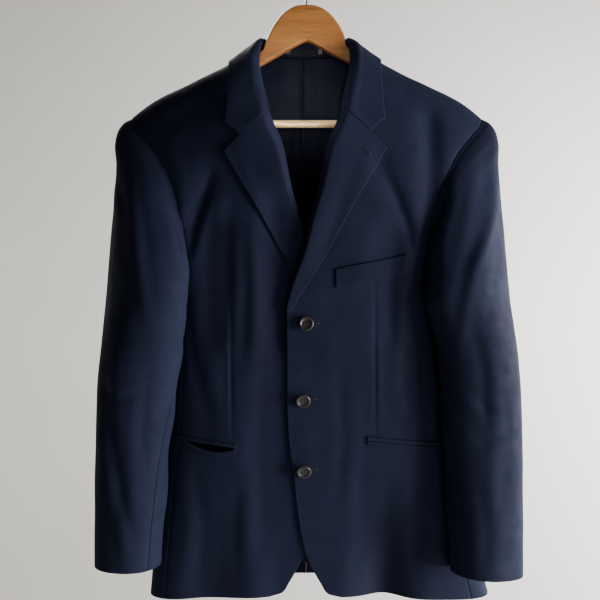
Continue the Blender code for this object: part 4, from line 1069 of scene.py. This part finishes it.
SHEEN_TINT = (0.55, 0.62, 0.85, 1)
TWILL = 0.85                                        # the twill ribs' distance, in millimetres


def wool(name, dark, light):
    """Worsted cloth: a fine diagonal twill, flecks of lighter yarn and a slow unevenness of shade."""
    made, tree, shader = nodes_of(name)
    fleck = ramp(tree, scaled_noise(tree, 620, 3), (0.36, dark), (0.66, light))
    shade = ramp(tree, scaled_noise(tree, 9, 2), (0.30, (0.80, 0.80, 0.82)), (0.72, (1.12, 1.12, 1.10)))
    rib = ribs(tree, 2 * math.pi / (20 * TWILL * MM) / 1.73, 1.5, "DIAGONAL")
    rib.inputs["Detail Scale"].default_value = 3.0
    ribbed = ramp(tree, rib.outputs["Fac"], (0.0, (0.90, 0.90, 0.90)), (1.0, (1.08, 1.08, 1.08)))
    tree.links.new(times(tree, times(tree, fleck, shade), ribbed), shader.inputs["Base Color"])
    varied(tree, shader.inputs["Roughness"], scaled_noise(tree, 60, 2), 0.74, 0.88)
    fixed(shader, {"Specular IOR Level": 0.09, "Sheen Weight": 0.022, "Sheen Roughness": 0.42,
                   "Sheen Tint": SHEEN_TINT})
    bumped(tree, shader, ((scaled_noise(tree, 45, 3), 0.25, 0.0008), (rib.outputs["Fac"], 0.22, 0.00012),
                          (scaled_noise(tree, 900, 2), 0.25, 0.00015)))
    return made


def satin(name, dark, light, roughness):
    """Smooth lining with a faint vertical weave and soft puckers."""
    made, tree, shader = nodes_of(name)
    tone = ramp(tree, scaled_noise(tree, 30, 3, (1, 1, 0.25)), (0.3, dark), (0.7, light))
    tree.links.new(tone, shader.inputs["Base Color"])
    varied(tree, shader.inputs["Roughness"], scaled_noise(tree, 120, 2, (1, 1, 0.2)),
           roughness - 0.06, roughness + 0.08)
    fixed(shader, {"Specular IOR Level": 0.03, "Sheen Weight": 0.02, "Sheen Tint": SHEEN_TINT})
    weave = ribs(tree, 420.0, 0.4)
    bumped(tree, shader, ((scaled_noise(tree, 26, 3, (1, 1, 0.35)), 0.35, 0.0015),
                          (weave.outputs["Fac"], 0.2, 0.00012)))
    return made


def thread(name, color):
    """Sewing thread with a diagonal twist."""
    made, tree, shader = nodes_of(name)
    tone = ramp(tree, scaled_noise(tree, 1400, 2), (0.3, tuple(c * 0.7 for c in color)), (0.7, color))
    tree.links.new(tone, shader.inputs["Base Color"])
    shader.inputs["Roughness"].default_value = 0.55
    twist = ribs(tree, 600.0, 0.3, "DIAGONAL")
    bumped(tree, shader, ((twist.outputs["Fac"], 0.4, 0.0002),))
    return made


def horn(name):
    """Dark horn-like resin: grey-brown clouds and fine streaks under a soft polish."""
    made, tree, shader = nodes_of(name)
    clouds = ramp(tree, scaled_noise(tree, 150, 4, (1, 1, 0.45)), (0.32, (0.006, 0.006, 0.007)),
                  (0.55, (0.014, 0.0135, 0.0135)), (0.75, (0.032, 0.031, 0.030)))
    tree.links.new(clouds, shader.inputs["Base Color"])
    varied(tree, shader.inputs["Roughness"], scaled_noise(tree, 500, 2), 0.26, 0.42)
    fixed(shader, {"Coat Weight": 0.05, "Coat Roughness": 0.25, "Specular IOR Level": 0.3})
    bumped(tree, shader, ((scaled_noise(tree, 700, 2), 0.15, 0.0002),))
    return made


def timber(name, dark, middle, light, stretch, roughness):
    """Lacquered wood: long grain lines, short pores and a slow change of tone."""
    made, tree, shader = nodes_of(name)
    warp = scaled_noise(tree, 7, 3, stretch)
    grain = texture(tree, "ShaderNodeTexNoise", Scale=75.0, Detail=5.0, Roughness=0.62, Distortion=0.5)
    tree.links.new(mapped(tree, stretch), grain.inputs["Vector"])
    tone = ramp(tree, grain.outputs["Fac"], (0.30, dark), (0.50, middle), (0.72, light))
    cloud = ramp(tree, warp, (0.32, (0.86, 0.84, 0.80)), (0.68, (1.08, 1.07, 1.05)))
    pores = ramp(tree, scaled_noise(tree, 420, 2, stretch), (0.34, (0.72, 0.66, 0.58)), (0.44, (1, 1, 1)))
    tree.links.new(times(tree, times(tree, tone, cloud), pores), shader.inputs["Base Color"])
    varied(tree, shader.inputs["Roughness"], grain.outputs["Fac"], roughness + 0.1, roughness)
    fixed(shader, {"Coat Weight": 0.18, "Coat Roughness": 0.22})
    bumped(tree, shader, ((grain.outputs["Fac"], 0.12, 0.0003),))
    return made


def plated(name):
    """Plated steel wire with faint drawing lines and a little dulling."""
    made, tree, shader = nodes_of(name)
    tone = ramp(tree, scaled_noise(tree, 90, 3), (0.3, (0.50, 0.50, 0.49)), (0.7, (0.70, 0.70, 0.68)))
    tree.links.new(tone, shader.inputs["Base Color"])
    varied(tree, shader.inputs["Roughness"], scaled_noise(tree, 300, 3), 0.18, 0.34)
    shader.inputs["Metallic"].default_value = 1.0
    bumped(tree, shader, ((scaled_noise(tree, 1200, 2), 0.10, 0.0001),))
    return made


WOOL = wool("navy_worsted", (0.0044, 0.0064, 0.0178), (0.0084, 0.0114, 0.0292))
TRIM_WOOL = wool("navy_worsted_trim", (0.0042, 0.0060, 0.0168), (0.0080, 0.0108, 0.0278))
LINING = satin("navy_lining", (0.0014, 0.0018, 0.0058), (0.0034, 0.0044, 0.0120), 0.52)
BAG_CLOTH = satin("pocketing", (0.0020, 0.0023, 0.0045), (0.0050, 0.0056, 0.0090), 0.60)
LABEL = satin("label_satin", (0.0075, 0.0085, 0.0140), (0.0150, 0.0165, 0.0240), 0.50)
WHITE_THREAD = thread("white_thread", (0.62, 0.62, 0.60))
NAVY_THREAD = thread("navy_thread", (0.0060, 0.0080, 0.0190))
BUTTON_LOOK = horn("dark_horn")
HONEY = timber("honey_wood", (0.185, 0.066, 0.012), (0.275, 0.112, 0.024), (0.350, 0.155, 0.040),
               (0.10, 1, 1), 0.34)
PALE = timber("pale_wood", (0.700, 0.400, 0.170), (0.860, 0.550, 0.260), (0.930, 0.660, 0.350),
              (0.06, 1, 1), 0.40)
STEEL = plated("plated_steel")


# ---------------------------------------------------------------- the pieces

def settle(piece, slot, *nodes):
    """Puts a piece in the body and in the place of its CAD nodes, which it hides. The slot is not used."""
    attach(piece, "root")
    if nodes:
        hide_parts(*nodes)
    return piece


def cloth(node, grid, pressed=(), amount=1.0, seams=(), look=WOOL, inside=None, thickness=CLOTH,
          slot="navy_wool"):
    """The piece of cloth that stands for a CAD node, on its grid of points and normals."""
    piece = shell(f"cloth_{node}", *grid, thickness, look, inside, seams, pressed, amount)
    return settle(piece, slot, node)


def build_body():
    """The fronts, the cut in the right one for its pocket, the backs and the side panels."""
    fronts = {side: cloth(f"front_{name}", panel(side, FRONT), BODY_CREASES + DARTS, seams=("high", "last"),
                          inside=LINING) for side, name in SIDE_NAME.items()}
    open_mouth(fronts[RIGHT])
    sewn = {"seams": ("high", "first", "last"), "inside": LINING}
    rows, columns = spread(0, ARM, 118, 456), spread(0, 1, 22, 90)
    for side, name in SIDE_NAME.items():
        cloth(f"back_{name}", panel(side, BACK), BODY_CREASES, **sewn)
        cloth(f"side_{name}", side_panel(side, rows, columns), BODY_CREASES, **sewn)


def build_sleeves():
    """Each sleeve's top and under piece, between its two seams."""
    count = 2 * len(UPPER_ROWS) + SIDE_COLUMNS
    front_seam = len(UPPER_ROWS) + FRONT_SEAM_PAST
    back_seam = count - len(UPPER_ROWS) + BACK_SEAM_PAST
    for side, name in SIDE_NAME.items():
        for part, first, last, steps, width in (("top", back_seam, count + front_seam, 72, 230),
                                                ("under", front_seam, back_seam, 44, 150)):
            cloth(f"sleeve_{part}_{name}", sleeve_piece(side, first, last, steps, width), SLEEVE_CREASES[side],
                  seams=("low", "first", "last"), inside=LINING)


TRIM = {"look": TRIM_WOOL, "thickness": TRIM_CLOTH, "amount": 0.0}


def build_collar_and_trims():
    """Lapels, collar, breast welt and the hip pockets' jets."""
    for side, name in SIDE_NAME.items():
        cloth(f"lapel_{name}", lapel_grid(side), LAPEL_CREASES, 0.5)
    cloth("collar", collar_grid(), amount=0.25, thickness=COLLAR_CLOTH)
    x = spread(WELT_IN[0], WELT_OUT[0], 30, 96)
    foot = WELT_IN[1] + (WELT_OUT[1] - WELT_IN[1]) * (x - WELT_IN[0]) / (WELT_OUT[0] - WELT_IN[0])
    cloth("breast_welt", laid_on_front(LEFT, x, foot + WELT_HEIGHT, foot, WELT_HEIGHT), **TRIM)
    for side, name in SIDE_NAME.items():
        pocket = HIP_POCKET[side]
        x = spread(pocket.x_in, pocket.x_out, 34, 90)
        top, foot = mouth_top(side, x), mouth_foot(side, x)
        for row, edges in (("upper", (top + JET_HEIGHT, top)), ("lower", (foot, foot - JET_HEIGHT))):
            cloth(f"hip_jet_{row}_{name}", laid_on_front(side, x, *edges, JET_HEIGHT * 2), **TRIM)


# The mouth's cutter: how far it stops short of the gape's two ends, and its near and far y.
MOUTH_INSET, MOUTH_DEPTHS = 1.5, (-120.0, -15.0)


def open_mouth(front):
    """Cuts the wearer's right hip pocket through its front."""
    xs = np.linspace(HIP_POCKET[RIGHT].x_in - MOUTH_INSET, GAPE_OUT + MOUTH_INSET, 28)
    outline = [(x, mouth_top(RIGHT, x)) for x in xs] + [(x, mouth_foot(RIGHT, x)) for x in xs[::-1]]
    bm = bmesh.new()
    near, far = ([bm.verts.new((x * MM, y * MM, z * MM)) for x, z in outline] for y in MOUTH_DEPTHS)
    bm.faces.new(near)
    bm.faces.new(far[::-1])
    for i in range(len(near)):
        k = (i + 1) % len(near)
        bm.faces.new((near[i], far[i], far[k], near[k]))
    cut_out(front, [linked("mouth", filled(bpy.data.meshes.new("mouth"), bm))])


def build_pocket_bag():
    """The gaping pocket's bag, with a soft belly behind the mouth."""
    v, u = spread(0, 1, 16, 34)[:, None], spread(0, 1, 30, 64)[None, :]
    x_in, x_out = HIP_POCKET[RIGHT].x_in + BAG_PAST, GAPE_OUT - BAG_PAST
    x = x_in + (x_out - x_in) * u + 0 * v
    z = mouth_top(RIGHT, x) + BAG_ABOVE - (BAG_ABOVE + BAG_BELOW) * v
    points, normals = front_place(RIGHT, x, z)
    belly = BAG_DEPTH * np.sin(math.pi * u) * np.sin(math.pi * v)
    points = points - normals * (TRIM_LIFT + belly)[..., None]
    cloth("pocket_bag_right", (points, normals), amount=0.0, look=BAG_CLOTH, thickness=TRIM_CLOTH,
          slot="lining_satin")


LINING_SHARE = 0.28
PLEAT_DEPTH = Curve((-1, -0.155, -0.10, -0.075, 0, 1), (0, 0, 4.0, 0, 0, 0))
LINING_CREASES = creases(
    BACK,
    (5, -1.6, 1, ((-30, -130), (-26, -200), (-32, -300), (-28, -400))),
    (5, -1.3, -1, ((24, -135), (30, -210), (22, -310), (28, -420))),
    (4, 1.2, 1, ((-14, -150), (-16, -260), (-12, -380))),
    (4, 1.2, -1, ((10, -140), (14, -240), (10, -360))),
    (6, -1.2, 1, ((-36, -160), (-10, -186), (20, -180))),
)


def build_lining():
    """The back lining, with a soft pleat beside its middle that opens towards the neck."""
    rows = spread(2, LAST_ROW, 170, 720)
    u = spread(-1, 1, 56, 100)
    right_x, right_z = panel_places(RIGHT, BACK, rows, np.abs(u) * LINING_SHARE)
    left_x, left_z = panel_places(LEFT, BACK, rows, np.abs(u) * LINING_SHARE)
    x, z = np.where(u < 0, right_x, left_x), np.where(u < 0, right_z, left_z)
    points = body_points(x, z, BACK)
    normals = body_normal(points, BACK)
    fade = (0.4 + 0.6 * (rows - 2) / (LAST_ROW - 2))[:, None]
    depth = TRIM_LIFT + PLEAT_DEPTH(u)[None, :] * fade
    points = points - normals * depth[..., None]
    cloth("back_lining", (points, normals), LINING_CREASES, 0.5, look=LINING, thickness=TRIM_CLOTH,
          slot="lining_satin")


LABEL_LEFT, LABEL_RIGHT = -31.0, 25.0
LABEL_SHARES = (0.08, 0.48)


def stand_places(xs, shares, lift):
    """A grid on the inner side of the collar's stand, at each x and share of its height."""
    collar = collar_coarse()
    middle = len(COLLAR_STATIONS) - 1
    near = range(middle - 3, middle + 4)
    at = [collar[i, 0, 0] for i in near]
    foot = np.array([[np.interp(x, at, collar[list(near), 0, axis]) for axis in range(3)] for x in xs])
    head = np.array([[np.interp(x, at, collar[list(near), 2, axis]) for axis in range(3)] for x in xs])
    inward = np.cross(head - foot, np.gradient(foot, axis=0))
    inward = unit(inward * -np.sign(inward[:, 1:2]))
    shares = np.asarray(shares)[:, None, None]
    return foot + (head - foot) * shares + inward * lift, np.broadcast_to(inward, (len(shares), *inward.shape))


def build_label():
    """The bare neck label on the collar's stand, and the thread tacks at its ends."""
    lift = (COLLAR_CLOTH + TRIM_CLOTH) / 2 + LAY_GAP
    grid = stand_places(spread(LABEL_LEFT, LABEL_RIGHT, 24, 56), spread(*LABEL_SHARES, 6, 12), lift)
    cloth("neck_label", grid, amount=0.0, look=LABEL, thickness=TRIM_CLOTH, slot="label_cloth")
    tacks = []
    for k, x in enumerate((LABEL_LEFT + 2.0, LABEL_LEFT + 5.4, LABEL_RIGHT - 5.4, LABEL_RIGHT - 2.0)):
        route = stand_places([x - 0.5, x, x + 0.5], np.linspace(0.12, 0.44, 8), lift + TRIM_CLOTH / 2 + 0.25)[0]
        wave = np.sin(np.arange(8) * 2.1 + k) * 0.18
        tacks.append(route[:, 1] + np.stack((wave, 0 * wave, 0 * wave), axis=1))
    settle(tubes("label_tacks", tacks, 0.62, WHITE_THREAD), "label_cloth")


def tubes(name, routes, radius, look, closed=False):
    """Round threads along routes of points, tapered at their ends."""
    curve = bpy.data.curves.new(name, "CURVE")
    curve.dimensions = "3D"
    curve.bevel_depth = radius * MM
    curve.bevel_resolution = 2
    curve.use_fill_caps = True
    for route in routes:
        spline = curve.splines.new("POLY")
        spline.points.add(len(route) - 1)
        for i, (point, place) in enumerate(zip(spline.points, route)):
            point.co = (*(place * MM), 1)
            point.radius = 1.0 if closed or 0 < i < len(route) - 1 else 0.6
        spline.use_cyclic_u = closed
    drawn = linked(name, curve)
    mesh = bpy.data.meshes.new_from_object(drawn)
    bpy.data.objects.remove(drawn, do_unlink=True)
    mesh.materials.clear()
    mesh.materials.append(look)
    mesh.shade_smooth()
    return linked(name, mesh)


# Each button's middle in x and z, and how far it leans forward, in degrees.
BUTTON_PLACES = ((-1.0, -506.0, 0.0), (-5.0, -607.0, 22.0), (-4.0, -701.0, 24.0))
SHANK, SHANK_RADIUS, BUTTON_SEAT = 2.6, 2.4, 0.45
BUTTON_SIDES = 56
# Turned profile of a button: a dished middle, a rounded raised rim with a groove inside it, and a flat back.
BUTTON_PROFILE = (
    (0.0, 1.75), (2.4, 1.78), (4.4, 1.95), (5.5, 2.25), (6.1, 2.55), (6.5, 2.75), (6.8, 3.05), (7.3, 3.38),
    (7.9, 3.52), (8.6, 3.50), (9.3, 3.25), (9.8, 2.75), (10.0, 2.2), (9.95, 1.6), (9.6, 1.0), (9.0, 0.45),
    (8.3, 0.12), (7.6, 0.0), (2.4, 0.0), (0.0, 0.0),
)
HOLE_OFFSET, HOLE_RADIUS, HOLE_SIDES = 1.9, 0.95, 20
HOLE_PROFILE = ((0, 5), (HOLE_RADIUS, 5), (HOLE_RADIUS, -1), (0, -1))
# A stitch in side view: shares of the way between two holes, and heights over the button's foot.
STITCH_SHIFT, STITCH_RADIUS = 0.28, 0.34
COIL_POINTS, COIL_FROM, COIL_RISE, COIL_TURN, COIL_RADIUS = 40, 0.2, 0.055, 0.9, 1.1     # round the shank
STITCH = ((-1.0, -2.4), (-0.98, 1.2), (-0.72, 2.15), (0.0, 2.5), (0.72, 2.15), (0.98, 1.2), (1.0, -2.4))


def turned(name, profile, sides):
    """A body of revolution about +Z from its profile, whose ends are on the axis."""
    bm = bmesh.new()
    rings = []
    for r, h in profile:
        if r == 0:
            rings.append([bm.verts.new((0, 0, h * MM))] * sides)
        else:
            turn = [2 * math.pi * i / sides for i in range(sides)]
            rings.append([bm.verts.new((r * math.cos(a) * MM, r * math.sin(a) * MM, h * MM)) for a in turn])
    for upper, lower in zip(rings, rings[1:]):
        for i in range(sides):
            k = (i + 1) % sides
            corners = list(dict.fromkeys((upper[i], lower[i], lower[k], upper[k])))
            if len(corners) > 2:
                bm.faces.new(corners)
    return linked(name, filled(bpy.data.meshes.new(name), bm))


def button_frame(x, z, nod):
    """A button's middle, at the foot of its disc, and its facing and upward directions."""
    point, normal = front_place(LEFT, np.array(x), np.array(z))
    lean = math.radians(nod)
    facing = np.array((0.0, -math.cos(lean), -math.sin(lean)))
    lift = CLOTH / 2 + BUTTON_SEAT + SHANK_RADIUS * math.sin(lean)
    return point + normal * lift + facing * SHANK, facing, lean


def build_buttons():
    """Each button's disc, its holes, the stitches over them and its thread shank."""
    for index, (x, z, nod) in enumerate(BUTTON_PLACES, start=1):
        button = turned(f"button_{index}_disc", BUTTON_PROFILE, BUTTON_SIDES)
        cutters = []
        for sx in (-1, 1):
            for sy in (-1, 1):
                hole = turned("hole", HOLE_PROFILE, HOLE_SIDES)
                hole.location = (sx * HOLE_OFFSET * MM, sy * HOLE_OFFSET * MM, 0)
                cutters.append(hole)
        cut_out(button, cutters)
        shaped = button.data
        shaped.materials.clear()
        shaped.materials.append(BUTTON_LOOK)
        shaped.shade_smooth()
        shaped.set_sharp_from_angle(angle=math.radians(50))
        place, facing, lean = button_frame(x, z, nod)
        button.rotation_euler = (math.radians(90) + lean, 0, 0)
        button.location = place * MM
        settle(button, "button_horn", f"button_{index}")
        across = np.array((1.0, 0.0, 0.0))
        upward = np.cross(across, facing) * -1.0
        routes = []
        for s in (-1, 1):
            for shift in (-STITCH_SHIFT, STITCH_SHIFT):
                routes.append(np.array([place + across * (s * HOLE_OFFSET + shift)
                                        + upward * (t * HOLE_OFFSET) + facing * h for t, h in STITCH]))
        coil = [(COIL_FROM + i * COIL_RISE, i * COIL_TURN) for i in range(COIL_POINTS)]
        shank = np.array([place - facing * h + across * (math.cos(a) * COIL_RADIUS)
                          + upward * (math.sin(a) * COIL_RADIUS) for h, a in coil])
        stitches = tubes(f"button_{index}_thread", routes + [shank], STITCH_RADIUS, NAVY_THREAD)
        settle(stitches, "button_horn")


def on_cloth(side, x, z, lift):
    """A place over a front at this lift, with the cloth's creases."""
    points, normals = front_place(side, np.array([[x]]), np.array([[z]]))
    points = creased(points, normals, BODY_CREASES)
    return points[0, 0] + normals[0, 0] * lift


LOOP_POINTS, LOOP_HALF, EYE_SWELL, EYE_REACH, LOOP_BLUNT = 44, 0.95, 0.65, 2.6, 4.0
BUTTONHOLE_BEFORE, BUTTONHOLE_PAST, BUTTONHOLE_RISE = 4.0, 18.0, 0.8      # beside the button's middle
LAPEL_BUTTONHOLE = ((82.5, -281.5), (66.5, -269.0))


def buttonhole(name, side, start, end, lift):
    """A worked buttonhole: a long loop of close stitches with a small eye at its start."""
    start, end = np.array(start, float), np.array(end, float)
    way = (end - start) / np.linalg.norm(end - start)
    across = np.array((-way[1], way[0]))
    length = np.linalg.norm(end - start)
    route = []
    for i in range(LOOP_POINTS):
        a = 2 * math.pi * i / LOOP_POINTS
        run = length / 2 * (1 - math.cos(a))
        wide = (LOOP_HALF + EYE_SWELL * math.exp(-(run / EYE_REACH) ** 2)) * (1 if math.sin(a) >= 0 else -1)
        wide *= min(1.0, abs(math.sin(a)) * LOOP_BLUNT)
        x, z = start + way * run + across * wide
        route.append(on_cloth(side, x, z, lift))
    piece = tubes(name, [np.array(route)], 0.55, NAVY_THREAD, closed=True)
    return settle(piece, "navy_wool")


def build_buttonholes():
    for index, (x, z, _) in enumerate(BUTTON_PLACES, start=1):
        start, end = (x - BUTTONHOLE_BEFORE, z), (x + BUTTONHOLE_PAST, z + BUTTONHOLE_RISE)
        buttonhole(f"buttonhole_{index}", LEFT, start, end, CLOTH / 2 + 0.25)
    lapel_lift = CLOTH * 1.5 + LAPEL_GAP + 2.3
    buttonhole("lapel_buttonhole", LEFT, *LAPEL_BUTTONHOLE, lapel_lift)


def dress_hanger():
    for node, look in (("hanger_yoke", HONEY), ("hanger_bar", PALE), ("hanger_hook", STEEL)):
        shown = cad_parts[node]
        for slot in shown.material_slots:
            slot.material = look
        if not shown.material_slots:
            shown.data.materials.append(look)


# ---------------------------------------------------------------- the stage

FLOOR_Z, BACKDROP_Y, STAGE_REACH, STAGE_TOP, SWEEP = -1.70, 2.1, 12.0, 6.0, 1.0       # in metres


def build_stage():
    """A pale floor that sweeps up into a pale backdrop well behind the blazer."""
    made, tree, shader = nodes_of("pale_stage")
    tone = ramp(tree, scaled_noise(tree, 1.2, 2), (0.3, (0.56, 0.55, 0.53)), (0.7, (0.60, 0.59, 0.57)))
    tree.links.new(tone, shader.inputs["Base Color"])
    shader.inputs["Roughness"].default_value = 0.9
    profile = [(-STAGE_REACH, FLOOR_Z), (BACKDROP_Y - SWEEP, FLOOR_Z)]
    profile += [(BACKDROP_Y - SWEEP + math.sin(a) * SWEEP, FLOOR_Z + SWEEP - math.cos(a) * SWEEP)
                for a in np.linspace(0, math.pi / 2, 17)[1:]]
    profile.append((BACKDROP_Y, STAGE_TOP))
    points = [(x, y, z) for y, z in profile for x in (-STAGE_REACH, STAGE_REACH)]
    faces = [(2 * i, 2 * i + 1, 2 * i + 3, 2 * i + 2) for i in range(len(profile) - 1)]
    mesh = bpy.data.meshes.new("stage")
    mesh.from_pydata(points, [], faces)
    mesh.materials.append(made)
    mesh.shade_smooth()
    stage = linked("stage", mesh)


def area_light(name, place, target, size, power, color, beam=180):
    """A round light aimed at a target; its beam is in degrees."""
    light = bpy.data.lights.new(name, "AREA")
    light.shape = "DISK"
    light.size, light.energy, light.color = size, power, color
    light.spread = math.radians(beam)
    made = linked(name, light)
    x, y, z = np.array(target, float) - np.array(place, float)
    made.location = place
    made.rotation_euler = (math.atan2(math.hypot(x, y), -z), 0, math.atan2(y, x) - math.pi / 2)


def build_lights():
    world = bpy.data.worlds.new("pale_studio")
    world.use_nodes = True
    background = world.node_tree.nodes["Background"]
    background.inputs["Color"].default_value = (0.84, 0.81, 0.76, 1)
    background.inputs["Strength"].default_value = 0.16
    bpy.context.scene.world = world
    area_light("key", (2.1, -0.62, -0.75), (0.20, 0.0, -0.50), 1.3, 190, (1.0, 0.98, 0.95))
    area_light("front", (0.80, -1.5, -1.75), (0.05, 0.0, -0.85), 0.9, 22, (0.98, 0.98, 1.0))
    area_light("neck", (0.02, -1.4, -0.42), (-0.01, 0.0, -0.185), 0.10, 0.095, (1.0, 0.97, 0.92), 8)
    area_light("behind", (-0.7, 1.35, 1.0), (0.0, 0.0, -0.5), 1.0, 12, (1.0, 0.99, 0.97), 80)
    area_light("backdrop", (2.4, 0.8, -0.5), (1.1, 2.1, -0.5), 1.2, 150, (1.0, 0.99, 0.97))
    area_light("backdrop_left", (-2.2, 0.9, -0.8), (-1.0, 2.1, -0.6), 1.6, 12, (1.0, 0.92, 0.82))


def build_camera():
    camera = bpy.data.cameras.new("camera")
    camera.sensor_fit = "HORIZONTAL"
    camera.sensor_width, camera.lens = 36.0, 42.84
    made = linked("camera", camera)
    made.location = (-0.0091, -1.006, -0.475)
    made.rotation_euler = (math.radians(90), 0, 0)
    bpy.context.scene.camera = made


build_camera()
build_stage()
build_lights()
build_body()
build_sleeves()
build_collar_and_trims()
build_pocket_bag()
build_lining()
build_label()
build_buttons()
build_buttonholes()
dress_hanger()
